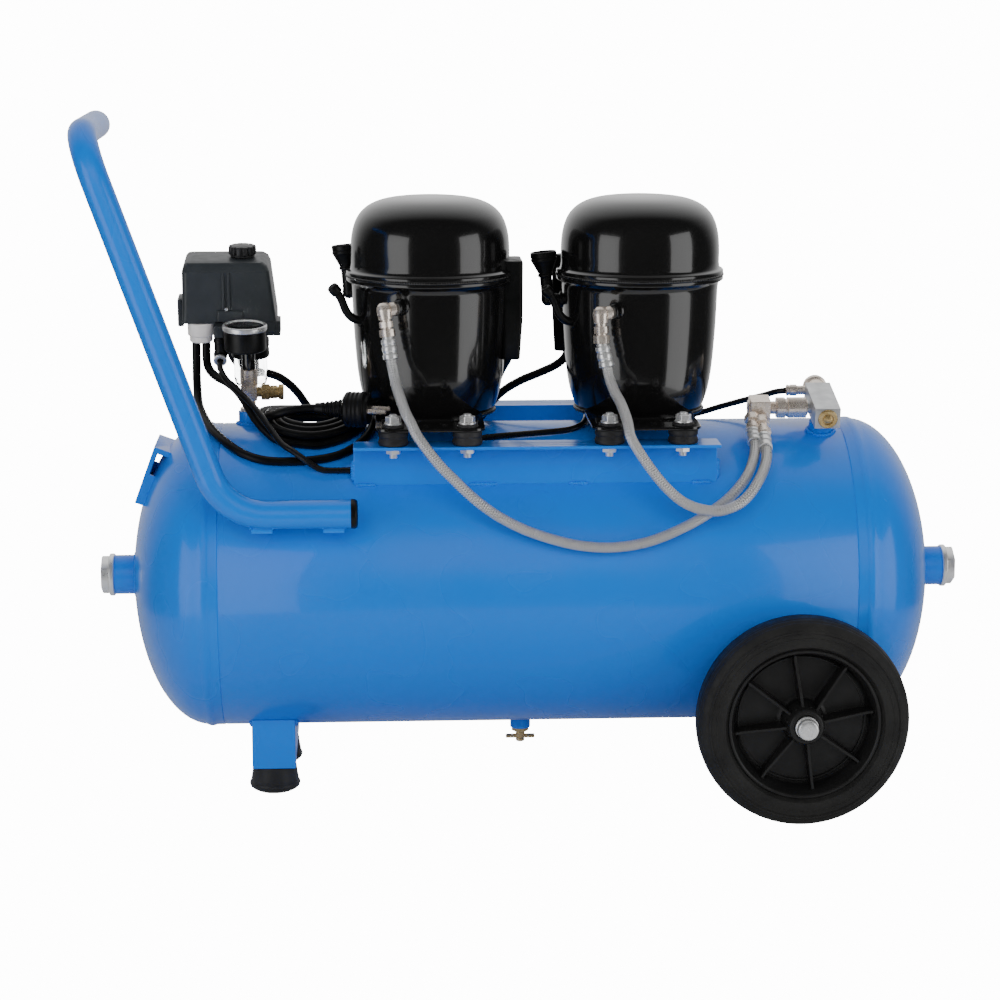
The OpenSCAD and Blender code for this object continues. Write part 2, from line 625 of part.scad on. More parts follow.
module riser_manifold() on_riser() {
    color([0.76, 0.75, 0.70]) {
        translate([0, 0, -12]) cylinder(r = 6.5, h = 13);
        translate([0, 0, 1]) cylinder(r = 8.2, h = 2.4);
        translate([0, 0, 3]) cylinder(r = 6, h = 10);
        translate([-8, -8, 12]) cube([16, 16, 15]);
        hex_z(15, 27, 42.5);
    }
    color([0.05, 0.05, 0.05]) {
        translate([0, 0, 42.5]) cylinder(r = 6.6, h = 19.5);
        translate([0, 0, 51]) rod_y(5, 0, 27.2);
    }
}

gauge_at = [-3, 0, 62];

module gauge_case() on_riser() translate(gauge_at) color([0.05, 0.05, 0.05]) difference() {
    union() {
        cylinder(r = 20.8, h = 22);
        translate([0, 0, 20.5]) cylinder(r = 22, h = 5.5);
    }
    translate([0, 0, 16]) cylinder(r = 19.4, h = 12);
}

module gauge_lens() on_riser() translate(gauge_at) color([0.85, 0.88, 0.90, 0.3])
    translate([0, 0, 23]) cylinder(r = 19.4, h = 2.4);

module gauge_needle() on_riser() translate(gauge_at) color([0.85, 0.10, 0.08]) {
    translate([0, 0, 16.6]) cylinder(r = 2.2, h = 3);
    translate([0, 0, 17.8]) linear_extrude(0.8) polygon([[-1.2, -5], [1.2, -5], [0.5, 15.5],
        [-0.5, 15.5]]);
}

module switch_base() on_riser() color([0.16, 0.19, 0.20]) difference() {
    union() {
        translate([-66, 26, 82]) cube([93, 62, 3]);
        translate([-33, 26, 72]) cube([60, 62, 10.5]);
        translate([8, 28, 69]) cube([23, 24, 15]);
        translate([-34, 8, 72]) cube([9.5, 19, 12]);
        translate([-71, 40, 76]) cube([5, 26, 28]);
    }
    translate([-22, 72, 60]) cylinder(r = 9 + running, h = 20);
}

module switch_cover() on_riser() color([0.15, 0.18, 0.19]) difference() {
    hull() {
        for (x = [-62, 23]) for (y = [28, 86])
            translate([x, y, 85]) cylinder(r = 4, h = 1, $fn = 24);
        for (x = [-59, 15]) for (y = [30, 84])
            translate([x, y, 134.5]) cylinder(r = 6, h = 1, $fn = 24);
        for (x = [-56, 10]) for (y = [34, 80])
            translate([x, y, 142.5]) cylinder(r = 5, h = 1, $fn = 24);
    }
    translate([-60, 30, 84]) cube([78, 53, 44]);
    translate([-31, 20, 84]) cube([26, 8, 11]);
}

module switch_knob() on_riser() translate([-6, 55, 144]) color([0.05, 0.05, 0.05]) {
    cylinder(r = 12, h = 3);
    translate([0, 0, 2.5]) linear_extrude(8.5) difference() {
        circle(r = 13.8);
        for (a = [0:30:330]) rotate(a) translate([14.6, 0]) circle(r = 2.2, $fn = 16);
    }
}

module cable_glands() on_riser() color([0.80, 0.80, 0.78]) {
    translate([-48, 36, 62]) difference() {
        union() {
            cylinder(r = 11.4, h = 7);
            translate([0, 0, 6.5]) cylinder(r = 13.2, h = 13.5);
        }
        for (s = [-1, 1]) translate([s * 5, 0, -1]) cylinder(r = cable_d / 2, h = 6);
    }
    translate([-22, 72, 64]) difference() {
        union() {
            cylinder(r = 9, h = 10);
            cylinder(r = 6, h = 16);
        }
        translate([0, 0, -1]) cylinder(r = cable_d / 2, h = 6);
    }
}

module filter_head() on_riser() color([0.10, 0.10, 0.11]) translate([0, 46, 0]) difference() {
    union() {
        translate([0, 0, 44]) cylinder(r = 19, h = 20);
        translate([0, 10, 63]) cylinder(r = 6.5, h = 8.95);
    }
    translate([0, 0, 40]) cylinder(r = 16.6, h = 8);
}

module filter_bowl() on_riser() color([0.85, 0.88, 0.88, 0.4]) translate([0, 46, 0])
    difference() {
        rotate_extrude() polygon([[0, 12], [10, 12], [15, 16], [16.5, 22], [16.5, 48], [0, 48]]);
        rotate_extrude() polygon([[0, 15], [9, 15], [13, 18], [14.4, 23], [14.4, 49], [0, 49]]);
    }

module outlet_coupling() on_riser() color([0.74, 0.60, 0.30]) translate([0, 0, 19])
    difference() {
        union() {
            rod_x(5, 8, 12);
            hex_x(14, 12, 20);
            rod_x(6.5, 20, 30);
            rod_x(7.6, 28, 34);
        }
        rod_x(3.6, 14, 35);
    }

// ---------- cables ----------

module motor_cables() in_place() color([0.04, 0.04, 0.04]) {
    cord(cable_left_route, cable_d);
    cord(cable_right_route, cable_d);
}

module mains_cord() in_place() color([0.04, 0.04, 0.04]) {
    cord(mains_route, cable_d);
    cord(mains_tail_route, cable_d);
}

// The coil lies on the tank, so its underside and top follow the tank's curve
module mains_coil() in_place() color([0.04, 0.04, 0.04]) intersection() {
    translate([coil_at[0], coil_at[1], 0]) tube_z(coil_ro, coil_ri, 100, 220);
    difference() {
        rod_x(tank_r + 0.4 + coil_h, -290, -150, $fn = 128);
        rod_x(tank_r + 0.4, -291, -149, $fn = 128);
    }
}

module mains_plug() in_place() color([0.05, 0.05, 0.05]) translate(plug_at)
    rotate([0, 0, plug_turn]) {
        rotate([0, 90, 0]) cylinder(r1 = 6, r2 = 9.5, h = 22);
        rod_x(17.5, 21.5, 44);
        rod_x(14, 43.5, 48);
        for (s = [-1, 1]) translate([0, s * 9.5, 0]) rod_x(2.4, 47.5, 66);
    }

tank_barrel();
tank_heads();
tank_sockets();
end_plugs();
data_plate_bracket();
motor_rails();
handle_tube();
handle_end_cap();
foot_bracket();
rubber_feet();
axle_bracket();
wheel_axles();
axle_caps();
wheel_rim_front();
wheel_rim_rear();
tyre_front();
tyre_rear();
drain_body();
drain_screw();
motor_lower_shell_left();
motor_lower_shell_right();
motor_upper_shell_left();
motor_upper_shell_right();
motor_bases();
motor_grommets();
motor_bolts();
terminal_covers();
intake_filters();
process_tubes();
stators();
rotor_left();
rotor_right();
pump_blocks();
pistons();
suspension_springs();
discharge_elbows();
hose_fittings();
hose_left();
hose_right();
manifold_tee();
check_valve();
check_valve_poppet();
manifold_bar();
air_fittings();
unloader_tube();
riser_manifold();
gauge_case();
gauge_lens();
gauge_needle();
switch_base();
switch_cover();
switch_knob();
cable_glands();
filter_head();
filter_bowl();
outlet_coupling();
motor_cables();
mains_cord();
mains_coil();
mains_plug();
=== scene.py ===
# Looks of the mobile air compressor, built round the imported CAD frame.
# Shapes are written in mm from the tank's centre and scaled to metres by their place matrix.
import math

import bmesh
import bpy
from mathutils import Matrix, Vector


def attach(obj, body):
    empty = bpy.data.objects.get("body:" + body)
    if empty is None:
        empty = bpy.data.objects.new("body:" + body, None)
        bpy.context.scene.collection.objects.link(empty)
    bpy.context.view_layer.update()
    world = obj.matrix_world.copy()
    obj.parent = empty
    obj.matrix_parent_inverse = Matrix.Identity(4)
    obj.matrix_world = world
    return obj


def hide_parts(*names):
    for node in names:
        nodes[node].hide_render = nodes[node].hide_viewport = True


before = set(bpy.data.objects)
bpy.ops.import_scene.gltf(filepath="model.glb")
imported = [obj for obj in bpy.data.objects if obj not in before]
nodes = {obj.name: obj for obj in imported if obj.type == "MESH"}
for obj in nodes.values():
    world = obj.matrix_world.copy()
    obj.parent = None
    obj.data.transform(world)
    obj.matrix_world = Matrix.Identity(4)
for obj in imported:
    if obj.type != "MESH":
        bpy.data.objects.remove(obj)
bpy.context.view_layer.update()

# ---------- places ----------

MM = 0.001
HERE = Matrix.Identity(4)
TANK_R = 150.0
BARREL_END = 319.0
HEAD_H = 75.0
FLOOR_Z = -209.0
TANK_SHIFT = 3.5
RISER_AT = (-278, 10)
RISER_Z = 162.5
RISER_LEAN = 6
MANIFOLD_X = 284
MANIFOLD_Z = 176.4
MANIFOLD_TILT = 13.4
DRAIN_X = -10
FOOT_X = -257
FOOT_Y = 49
FOOT_HALF = 22
WHEEL_X = 248
AXLE_Z = -107.5
AXLE_HALF = 26
MOTOR_X = (-99.0, 107.0)
PLATE_X = (-102.5, 102.5)
BOLT_DX = 35.0
BOLT_Y = 122.0


def move(x, y, z):
    return Matrix.Translation((x, y, z))


def spin(degrees, axis):
    return Matrix.Rotation(math.radians(degrees), 4, axis)


def along(start, end):
    """A frame at start whose Z runs towards end."""
    start = Vector(start)
    turn = (Vector(end) - start).to_track_quat("Z", "Y").to_matrix().to_4x4()
    return Matrix.Translation(start) @ turn


def reach(start, end):
    return (Vector(end) - Vector(start)).length


TANK = move(TANK_SHIFT * MM, 0, -FLOOR_Z * MM) @ Matrix.Scale(MM, 4)
RISER = TANK @ move(*RISER_AT, RISER_Z) @ spin(RISER_LEAN, "X")
SHOULDER = TANK @ spin(MANIFOLD_TILT, "X") @ move(MANIFOLD_X, 0, MANIFOLD_Z)
WHEEL = TANK @ move(WHEEL_X, 0, AXLE_Z)
FLIP_X = Matrix.Scale(-1, 4, (1, 0, 0))
FLIP_Y = Matrix.Scale(-1, 4, (0, 1, 0))
TO_X = spin(90, "Y")
TO_FRONT = spin(90, "X")
TO_REAR = spin(-90, "X")


def add_object(name, data):
    made = bpy.data.objects.new(name, data)
    bpy.context.scene.collection.objects.link(made)
    return made


# ---------- camera ----------

CAMERA_AT = (-0.15792, -2.600, 0.81070)
CAMERA_PITCH = 78.493
CAMERA_YAW = -2.884
SENSOR_MM = 36
LENS_MM = 95.866


def make_camera():
    data = bpy.data.cameras.new("camera")
    data.sensor_width = SENSOR_MM
    data.lens = LENS_MM
    cam = add_object("camera", data)
    cam.location = CAMERA_AT
    cam.rotation_euler = (math.radians(CAMERA_PITCH), 0, math.radians(CAMERA_YAW))
    bpy.context.scene.camera = cam


# ---------- materials ----------

def add_node(tree, kind, inputs=None, **settings):
    """A new shader node. An input takes a value, or the output of another node."""
    made = tree.nodes.new("ShaderNode" + kind)
    for key, value in settings.items():
        setattr(made, key, value)
    for key, value in (inputs or {}).items():
        if isinstance(value, bpy.types.NodeSocket):
            tree.links.new(value, made.inputs[key])
        else:
            made.inputs[key].default_value = value
    return made


class Look:
    """A procedural material: every look varies its colour, roughness and fine relief."""

    def __init__(self, name, **shader):
        self.mat = bpy.data.materials.new(name + "_look")
        self.mat.use_nodes = True
        self.tree = self.mat.node_tree
        self.shader = self.tree.nodes["Principled BSDF"]
        for key, value in shader.items():
            self.shader.inputs[key.replace("_", " ").title().replace("Ior", "IOR")].default_value = value

    def node(self, kind, inputs=None, **settings):
        return add_node(self.tree, kind, inputs, **settings)

    def feed(self, source, socket):
        self.tree.links.new(source, self.shader.inputs[socket])

    def coords(self, stretch=(1, 1, 1), kind="Object"):
        where = self.node("TexCoord").outputs[kind]
        return self.node("Mapping", {"Scale": stretch, "Vector": where}).outputs["Vector"]

    def noise(self, scale, detail, stretch=(1, 1, 1)):
        settings = {"Scale": scale, "Detail": detail, "Vector": self.coords(stretch)}
        return self.node("TexNoise", settings).outputs["Fac"]

    def cells(self, scale):
        settings = {"Scale": scale, "Vector": self.coords()}
        return self.node("TexVoronoi", settings).outputs["Distance"]

    def math(self, operation, *values):
        return self.node("Math", dict(enumerate(values)), operation=operation).outputs["Value"]

    def tone(self, fac, dark, light, low=0.35, high=0.65):
        ramp = self.node("ValToRGB", {"Fac": fac})
        for stop, position, colour in zip(ramp.color_ramp.elements, (low, high), (dark, light)):
            stop.position = position
            stop.color = (*colour, 1)
        self.feed(ramp.outputs["Color"], "Base Color")

    def rough(self, fac, low, high):
        settings = {"Value": fac, "From Min": 0.3, "From Max": 0.7, "To Min": low, "To Max": high}
        self.feed(self.node("MapRange", settings).outputs["Result"], "Roughness")

    def relief(self, height, depth_mm, strength):
        settings = {"Strength": strength, "Distance": depth_mm * MM, "Height": height}
        self.feed(self.node("Bump", settings).outputs["Normal"], "Normal")


def grey(value):
    return (value, value, value)


def painted(name, dark, light, low, high, coat, specular=0.5):
    """Stoved gloss paint with a faint orange peel."""
    look = Look(name, coat_weight=coat, coat_roughness=0.05, specular_ior_level=specular)
    look.tone(look.noise(5, 1), dark, light, 0.2, 0.8)
    look.rough(look.noise(14, 1), low, high)
    look.relief(look.noise(260, 1), 0.012, 0.2)
    return look.mat


def metal(name, dark, light, low, high, grain=900, stretch=(1, 1, 1), depth=0.03):
    """Bare or plated metal with fine tool marks and a little tarnish."""
    look = Look(name, metallic=0.8)
    look.tone(look.noise(90, 5), dark, light)
    look.rough(look.noise(260, 4, stretch), low, high)
    look.relief(look.noise(grain, 3, stretch), depth, 0.5)
    return look.mat


def moulded(name, dark, light, low, high, grain=1500, depth=0.06, specular=0.5):
    """Moulded plastic or rubber with a fine spark-eroded grain."""
    look = Look(name, specular_ior_level=specular)
    look.tone(look.noise(35, 4), dark, light)
    look.rough(look.noise(120, 4), low, high)
    look.relief(look.cells(grain), depth, 0.6)
    return look.mat


def clear(name, tint, low, high):
    look = Look(name, transmission_weight=1.0, ior=1.46)
    look.tone(look.noise(30, 2), tint, (0.98, 0.99, 0.99))
    look.rough(look.noise(80, 3), low, high)
    look.relief(look.noise(60, 2), 0.02, 0.3)
    return look.mat


def braided_steel():
    """Stainless wires: each crossing strand shows its own fine wires, picked out from UV. The colour is
    painted shade: dark in the gaps between strands and between wires.
    """
    look = Look("braid", metallic=0.7)
    weave = look.node("SeparateXYZ", {"Vector": look.coords((2 * math.pi, 2 * math.pi, 1), "UV")})
    right = look.math("ADD", weave.outputs["X"], weave.outputs["Y"])
    left = look.math("SUBTRACT", weave.outputs["X"], weave.outputs["Y"])
    over = look.math("MULTIPLY", look.math("SINE", right), look.math("SINE", left))
    mixed = look.node("Mix", {"Factor": look.math("GREATER_THAN", over, 0.0),
                              "A": look.math("SINE", look.math("MULTIPLY", right, 4.0)),
                              "B": look.math("SINE", look.math("MULTIPLY", left, 4.0))})
    wires = look.math("MULTIPLY_ADD", mixed.outputs["Result"], 0.5, 0.5)
    weave_shade = look.math("MULTIPLY", look.math("ABSOLUTE", over), look.math("ADD", wires, 0.6))
    # Painted shade: the colour darkens where the weave sinks, in the gaps between strands and between
    # wires.
    look.tone(weave_shade, grey(0.06), grey(0.98), 0.0, 0.55)
    look.rough(look.noise(300, 3), 0.26, 0.42)
    look.relief(wires, 0.06, 0.8)
    return look.mat


def make_looks():
    steel = (0.58, 0.59, 0.60)
    made = [
        painted("blue_paint", (0.0, 0.190, 0.80), (0.0, 0.205, 0.86), 0.22, 0.30, 0.25, 0.3),
        painted("black_enamel", grey(0.004), grey(0.007), 0.14, 0.20, 0.7),
        metal("zinc_steel", (0.88, 0.89, 0.89), (0.97, 0.97, 0.96), 0.26, 0.40),
        metal("nickel", (0.88, 0.77, 0.67), (0.97, 0.88, 0.79), 0.22, 0.34),
        metal("alloy", steel, (0.74, 0.75, 0.76), 0.28, 0.42, 700, (1, 0.06, 1)),
        metal("brass", (0.55, 0.38, 0.15), (0.72, 0.54, 0.27), 0.20, 0.34),
        metal("rotor_steel", (0.40, 0.40, 0.41), steel, 0.30, 0.45),
        metal("stator_winding", (0.42, 0.17, 0.07), (0.62, 0.30, 0.14), 0.25, 0.4, 500, (1, 1, 9), 0.2),
        metal("cast_iron", (0.16, 0.16, 0.17), (0.26, 0.26, 0.27), 0.5, 0.7, 300, depth=0.2),
        moulded("black_rubber", (0.014, 0.014, 0.015), (0.024, 0.024, 0.025), 0.42, 0.56, 900, 0.08, 0.4),
        moulded("tyre_rubber", grey(0.011), (0.019, 0.019, 0.018), 0.48, 0.66, 700, 0.12, 0.3),
        moulded("rim_plastic", grey(0.010), grey(0.015), 0.34, 0.44, 1300, 0.05, 0.4),
        moulded("black_plastic", grey(0.003), grey(0.006), 0.32, 0.44, 1500, 0.04, 0.3),
        moulded("black_tube", grey(0.004), grey(0.008), 0.24, 0.34, 700, 0.02, 0.4),
        moulded("cable_black", grey(0.002), grey(0.004), 0.34, 0.46, 800, 0.04, 0.22),
        moulded("switch_grey", (0.026, 0.031, 0.035), (0.032, 0.038, 0.042), 0.36, 0.46, 1100, 0.06),
        moulded("knob_black", (0.014, 0.014, 0.015), (0.026, 0.026, 0.027), 0.34, 0.46, 1300, 0.05),
        moulded("gland_grey", (0.90, 0.86, 0.83), (0.96, 0.93, 0.90), 0.34, 0.44, 1500, 0.03),
        moulded("needle_red", (0.52, 0.02, 0.01), (0.60, 0.04, 0.02), 0.25, 0.35, 1200, 0.02),
        moulded("dial_white", (0.74, 0.74, 0.72), (0.82, 0.82, 0.80), 0.35, 0.45, 1200, 0.01),
        moulded("dial_ink", grey(0.012), grey(0.02), 0.40, 0.5, 1200, 0.01),
        clear("lens", (0.93, 0.95, 0.95), 0.02, 0.06),
        braided_steel(),
    ]
    return {mat.name.removesuffix("_look"): mat for mat in made}


# ---------- shapes ----------

def soft(outline, radius=0.8, steps=3):
    """The outline with its inner corners rounded off."""
    points = [Vector(p) for p in outline]
    out = [points[0]]
    for before, here, after in zip(points, points[1:], points[2:]):
        back = before - here
        on = after - here
        cut = min(radius, back.length * 0.45, on.length * 0.45)
        start = here + back.normalized() * cut
        end = here + on.normalized() * cut
        for i in range(steps + 1):
            t = i / steps
            out.append(start * (1 - t) ** 2 + here * 2 * t * (1 - t) + end * t ** 2)
    out.append(points[-1])
    return [tuple(p) for p in out]


def arc(centre, radius, start, end, steps):
    """Points of an arc in a plane, angles in degrees."""
    turns = [math.radians(start + (end - start) * i / steps) for i in range(steps + 1)]
    return [(centre[0] + radius * math.cos(a), centre[1] + radius * math.sin(a)) for a in turns]


def polar(radius, angle, height):
    return (radius * math.cos(angle), radius * math.sin(angle), height)


def smooth_route(points, step):
    """A Catmull-Rom line through the points, at even steps."""
    pts = [Vector(p) for p in points]
    ends = [pts[0] * 2 - pts[1]] + pts + [pts[-1] * 2 - pts[-2]]
    fine = []
    for a, b, c, d in zip(ends, ends[1:], ends[2:], ends[3:]):
        for i in range(24):
            t = i / 24
            fine.append(0.5 * (2 * b + (c - a) * t + (2 * a - 5 * b + 4 * c - d) * t ** 2
                               + (3 * b - a - 3 * c + d) * t ** 3))
    fine.append(pts[-1])
    lengths = [0.0]
    for p, q in zip(fine, fine[1:]):
        lengths.append(lengths[-1] + (q - p).length)
    count = max(2, round(lengths[-1] / step))
    out = []
    k = 0
    for i in range(count + 1):
        want = lengths[-1] * i / count
        while k < len(fine) - 2 and lengths[k + 1] < want:
            k += 1
        span = max(lengths[k + 1] - lengths[k], 1e-9)
        out.append(fine[k].lerp(fine[k + 1], (want - lengths[k]) / span))
    return out


def square(low_x, high_x, low_y, high_y, radius, steps=6):
    """A rectangle with rounded corners, counterclockwise."""
    corners = [(high_x, high_y, 0), (low_x, high_y, 90), (low_x, low_y, 180), (high_x, low_y, 270)]
    out = []
    for x, y, turn in corners:
        cx = x - radius if x == high_x else x + radius
        cy = y - radius if y == high_y else y + radius
        out += arc((cx, cy), radius, turn, turn + 90, steps)
    return out


class Piece:
    """Closed shapes that are joined into one object."""

    def __init__(self, place=TANK):
        self.bm = bmesh.new()
        self.uv = self.bm.loops.layers.uv.new("uv")
        self.place = place

    def rings(self, rings, place=HERE, closed=False, uv=None):
        """Skins a stack of rings of points, and closes its ends unless it is a loop."""
        put = self.place @ place
        sides = max(len(r) for r in rings)
        rows = [[self.bm.verts.new(put @ Vector(p)) for p in ring] for ring in rings]
        pairs = list(zip(rows, rows[1:]))
        if closed:
            pairs.append((rows[-1], rows[0]))
        for j, (low, high) in enumerate(pairs):
            for i in range(sides):
                k = (i + 1) % sides
                corners = []
                for row, at in ((low, i), (low, k), (high, k), (high, i)):
                    vert = row[at % len(row)]
                    if vert not in corners:
                        corners.append(vert)
                face = self.bm.faces.new(corners)
                if uv:
                    around = (i, i + 1, i + 1, i)
                    length = (j, j, j + 1, j + 1)
                    for loop, u, v in zip(face.loops, around, length):
                        loop[self.uv].uv = (u * uv[0], v * uv[1])
        if not closed:
            for row in (rows[0], rows[-1]):
                if len(row) > 2:
                    self.bm.faces.new(row)
        return self

    def lathe(self, outline, place=HERE, sides=64, closed=False):
        """Turns an outline of (radius, height) about the local Z axis."""
        rings = []
        for r, h in outline:
            if r < 1e-6:
                rings.append([(0, 0, h)])
                continue
            rings.append([polar(r, 2 * math.pi * i / sides, h) for i in range(sides)])
        return self.rings(rings, place, closed)

    def turned(self, outline, round_by, place=HERE, sides=64, closed=False):
        """Turns an outline after rounding off its inner corners."""
        return self.lathe(soft(outline, round_by), place, sides, closed)

    def rod(self, radius, low, high, place=HERE, round_by=0.5, sides=48):
        return self.turned([(0, low), (radius, low), (radius, high), (0, high)], round_by, place, sides)

    def pipe(self, outer, inner, low, high, place=HERE, round_by=0.4, sides=48):
        ring = [(inner, low), (outer, low), (outer, high), (inner, high), (inner, low)]
        return self.lathe(soft(ring, round_by)[1:-1] + [(inner, low + 0.01)], place, sides, closed=True)

    def loft(self, sections, place=HERE, corner=6):
        """Rounded rectangles stacked up: each is (height, low x, high x, low y, high y, radius)."""
        rings = []
        for z, x0, x1, y0, y1, r in sections:
            rings.append([(x, y, z) for x, y in square(x0, x1, y0, y1, r, corner)])
        return self.rings(rings, place)

    def prism(self, outline, low, high, place=HERE, round_by=0.6, segments=2):
        """An outline pushed up from low to high, with its edges rounded."""
        made = bmesh.new()
        base = [made.verts.new((x, y, low)) for x, y in outline]
        face = made.faces.new(base)
        up = bmesh.ops.extrude_face_region(made, geom=[face])
        tops = [v for v in up["geom"] if isinstance(v, bmesh.types.BMVert)]
        bmesh.ops.translate(made, vec=(0, 0, high - low), verts=tops)
        bmesh.ops.recalc_face_normals(made, faces=made.faces)
        if round_by:
            sharp = [e for e in made.edges if e.calc_face_angle(0) > math.radians(28)]
            bmesh.ops.bevel(made, geom=sharp, offset=round_by, segments=segments, profile=0.6,
                            affect="EDGES", clamp_overlap=True)
        return self.take(made, place)

    def take(self, made, place=HERE):
        put = self.place @ place
        twin = {v: self.bm.verts.new(put @ v.co) for v in made.verts}
        for face in made.faces:
            self.bm.faces.new([twin[v] for v in face.verts])
        made.free()
        return self

    def block(self, low, high, place=HERE, round_by=0.8, segments=2):
        outline = [(low[0], low[1]), (high[0], low[1]), (high[0], high[1]), (low[0], high[1])]
        return self.prism(outline, low[2], high[2], place, round_by, segments)

    def nut(self, flat, low, high, place=HERE, turn=0.0):
        """A hexagon with chamfered ends."""
        wide = flat / math.sqrt(3)
        edge = wide * 0.07
        rise = edge * 0.6
        levels = [(low, wide - edge), (low + rise, wide), (high - rise, wide), (high, wide - edge)]
        rings = []
        for z, r in levels:
            ring = []
            for i in range(6):
                for nudge in (-3, 3):
                    ring.append(polar(r, math.radians(60 * i + nudge + turn), z))
            rings.append(ring)
        return self.rings(rings, place)

    def tube(self, route, radius, sides=20, place=HERE, uv=None):
        """A tube along a route. The radius is a number or a function of run, angle and whole length."""
        pts = [Vector(p) for p in route]
        normal = Vector((0.31, 0.87, 0.39))
        rings = []
        run = 0.0
        whole = sum((q - p).length for p, q in zip(pts, pts[1:]))
        for i, here in enumerate(pts):
            way = pts[min(i + 1, len(pts) - 1)] - pts[max(i - 1, 0)]
            way.normalize()
            if i:
                run += (here - pts[i - 1]).length
            normal = (normal - way * normal.dot(way)).normalized()
            side = way.cross(normal)
            ring = []
            for k in range(sides):
                a = 2 * math.pi * k / sides
                r = radius(run, a, whole) if callable(radius) else radius
                ring.append(here + (normal * math.cos(a) + side * math.sin(a)) * r)
            rings.append(ring)
        return self.rings(rings, place, uv=uv)

    def bead(self, route, radius=1.8, place=HERE):
        """A weld bead with the ripples of its passes, tapered at both ends."""
        def ripple(run, angle, whole):
            fade = min(1.0, 0.35 + run / 4, 0.35 + (whole - run) / 4)
            return radius * fade * (1 + 0.13 * math.sin(run * 2.6) + 0.05 * math.sin(run * 0.9 + angle))
        return self.tube(smooth_route(route, 0.6), ripple, 10, place)

    def done(self, name, finish, body="frame", stands_for=(), sharp=32, slot=None):
        bmesh.ops.recalc_face_normals(self.bm, faces=self.bm.faces)
        mesh = bpy.data.meshes.new(name)
        self.bm.to_mesh(mesh)
        self.bm.free()
        mesh.shade_smooth()
        mesh.set_sharp_from_angle(angle=math.radians(sharp))
        mesh.materials.append(looks[finish])
        made = add_object(name, mesh)
        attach(made, body)
        if stands_for:
            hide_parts(*stands_for)
        return made


def finish_cad(finish, *names, edge=0.5):
    """A CAD node that keeps its shape gets its look and rounded edges."""
    for name in names:
        piece = nodes[name]
        piece.data.materials.clear()
        piece.data.materials.append(looks[finish])
        if edge:
            weld = piece.modifiers.new("weld", "WELD")
            weld.merge_threshold = 0.00001
            bevel = piece.modifiers.new("bevel", "BEVEL")
            bevel.width = edge * MM
            bevel.segments = 2
            bevel.limit_method = "ANGLE"
            bevel.angle_limit = math.radians(40)


# ---------- cords ----------

HOSE_D = 10.5
STRANDS = 8
BRAID_PITCH = 5.2
BRAID_SIDES = 72
BRAID_STEP = 0.6
UNLOADER_D = 6.0
CABLE_D = 8.4
HOSE_LEFT = [(-139, -92, 229), (-137, -94, 218), (-134, -102, 204), (-130, -116, 193),
             (-126, -130, 183), (-121, -137, 174), (-116, -142, 164), (-106, -147, 150),
             (-93, -149, 134), (-81, -150, 122), (-69, -151, 110), (-54, -151, 97),
             (-35, -151, 84), (-11, -151, 72), (16, -152, 63), (39, -153, 58), (66, -153, 56),
             (93, -153, 59), (117, -152, 66), (144, -150, 78), (163, -147, 89), (178, -142, 99),
             (190, -134, 109), (199, -124, 118), (205, -112, 126), (209, -100, 133),
             (211, -90, 138), (212, -81, 143)]
HOSE_RIGHT = [(67, -92, 220), (69, -95, 210), (73, -104, 198), (78, -118, 188.5),
              (81, -132, 180), (83, -141, 172), (85, -148, 161), (93, -152, 147),
              (104, -154, 131), (117, -155, 115), (131, -155, 102), (144, -156, 95),
              (156, -157, 92), (168, -158, 91), (180, -157, 94), (191, -153, 99),
              (201, -145, 107), (209, -135, 116), (215, -124, 124), (219, -112, 130),
              (221, -101, 135), (221, -93, 139)]
UNLOADER = [(-306, 14, 213), (-306, 3, 207), (-301, -9, 199), (-291, -21, 190),
            (-278, -35, 180.5), (-265, -51, 168.5), (-254, -66, 155.5), (-244, -79, 145),
            (-233, -88, 139), (-221, -94, 131.5), (-207, -96, 123), (-190, -95, 121.5),
            (-165, -94, 122), (-140, -91, 124.5), (-110, -80, 132), (-80, -66, 139),
            (-52, -54, 144), (-25, -49, 146), (6, -44, 147.5), (34, -38, 149),
            (48, -26, 151.5), (54, -8, 154), (56, 10, 154), (60, 30, 151.5), (72, 48, 146),
            (92, 62, 141), (118, 69, 138), (145, 68, 140), (172, 60, 147), (195, 49, 156),
            (215, 36, 164), (235, 16, 173), (245, 5, 178), (254, 0, 180)]
CABLE_LEFT = [(-331, 39, 231), (-331, 39, 210), (-331, 35, 195), (-330, 26, 180),
              (-328, 12, 169), (-323, -6, 161), (-316, -26, 154), (-307, -45, 148),
              (-296, -62, 142), (-281, -76, 135), (-261, -84, 130), (-237, -86, 129),
              (-212, -84, 130), (-190, -79, 133.5), (-174, -68, 139.5), (-162, -50, 147),
              (-157, -28, 152.5), (-156, 0, 155), (-157, 28, 152.5), (-159, 52, 146),
              (-152, 72, 137.5), (-134, 82, 131.5), (-110, 84, 130.5), (-84, 83, 131.5),
              (-60, 78, 136), (-46, 70, 146), (-39, 62, 162), (-33, 52, 180), (-27, 40, 197),
              (-22, 27, 209), (-20.5, 18, 218)]
CABLE_RIGHT = [(-300, 75, 237), (-300, 76, 219), (-297, 78, 207), (-290, 79, 198),
               (-279, 78, 193), (-266, 76, 190.5), (-253, 75, 187), (-241, 75, 179),
               (-231, 77, 168), (-222, 80, 154), (-212, 83, 142), (-198, 86, 133),
               (-180, 88.5, 128.5), (-160, 91, 126), (-135, 92, 125), (-105, 92, 125),
               (-75, 90, 127), (-56, 85, 133), (-43, 77, 147), (-34, 70, 161), (-22, 64, 173),
               (-6, 60, 183), (12, 57, 191), (27, 56, 198), (37, 55, 206), (42, 54, 217.5)]
MAINS_IN = [(-321, 39, 231), (-321, 37, 211), (-318, 30, 201), (-310, 19, 195), (-300, 5, 192),
            (-291, -9, 187.5), (-283, -22, 180), (-276, -34, 170.5), (-268, -44, 160),
            (-258, -53, 151), (-246, -60, 144.5)]
PLUG_AT = (-206, -58, 175.5)
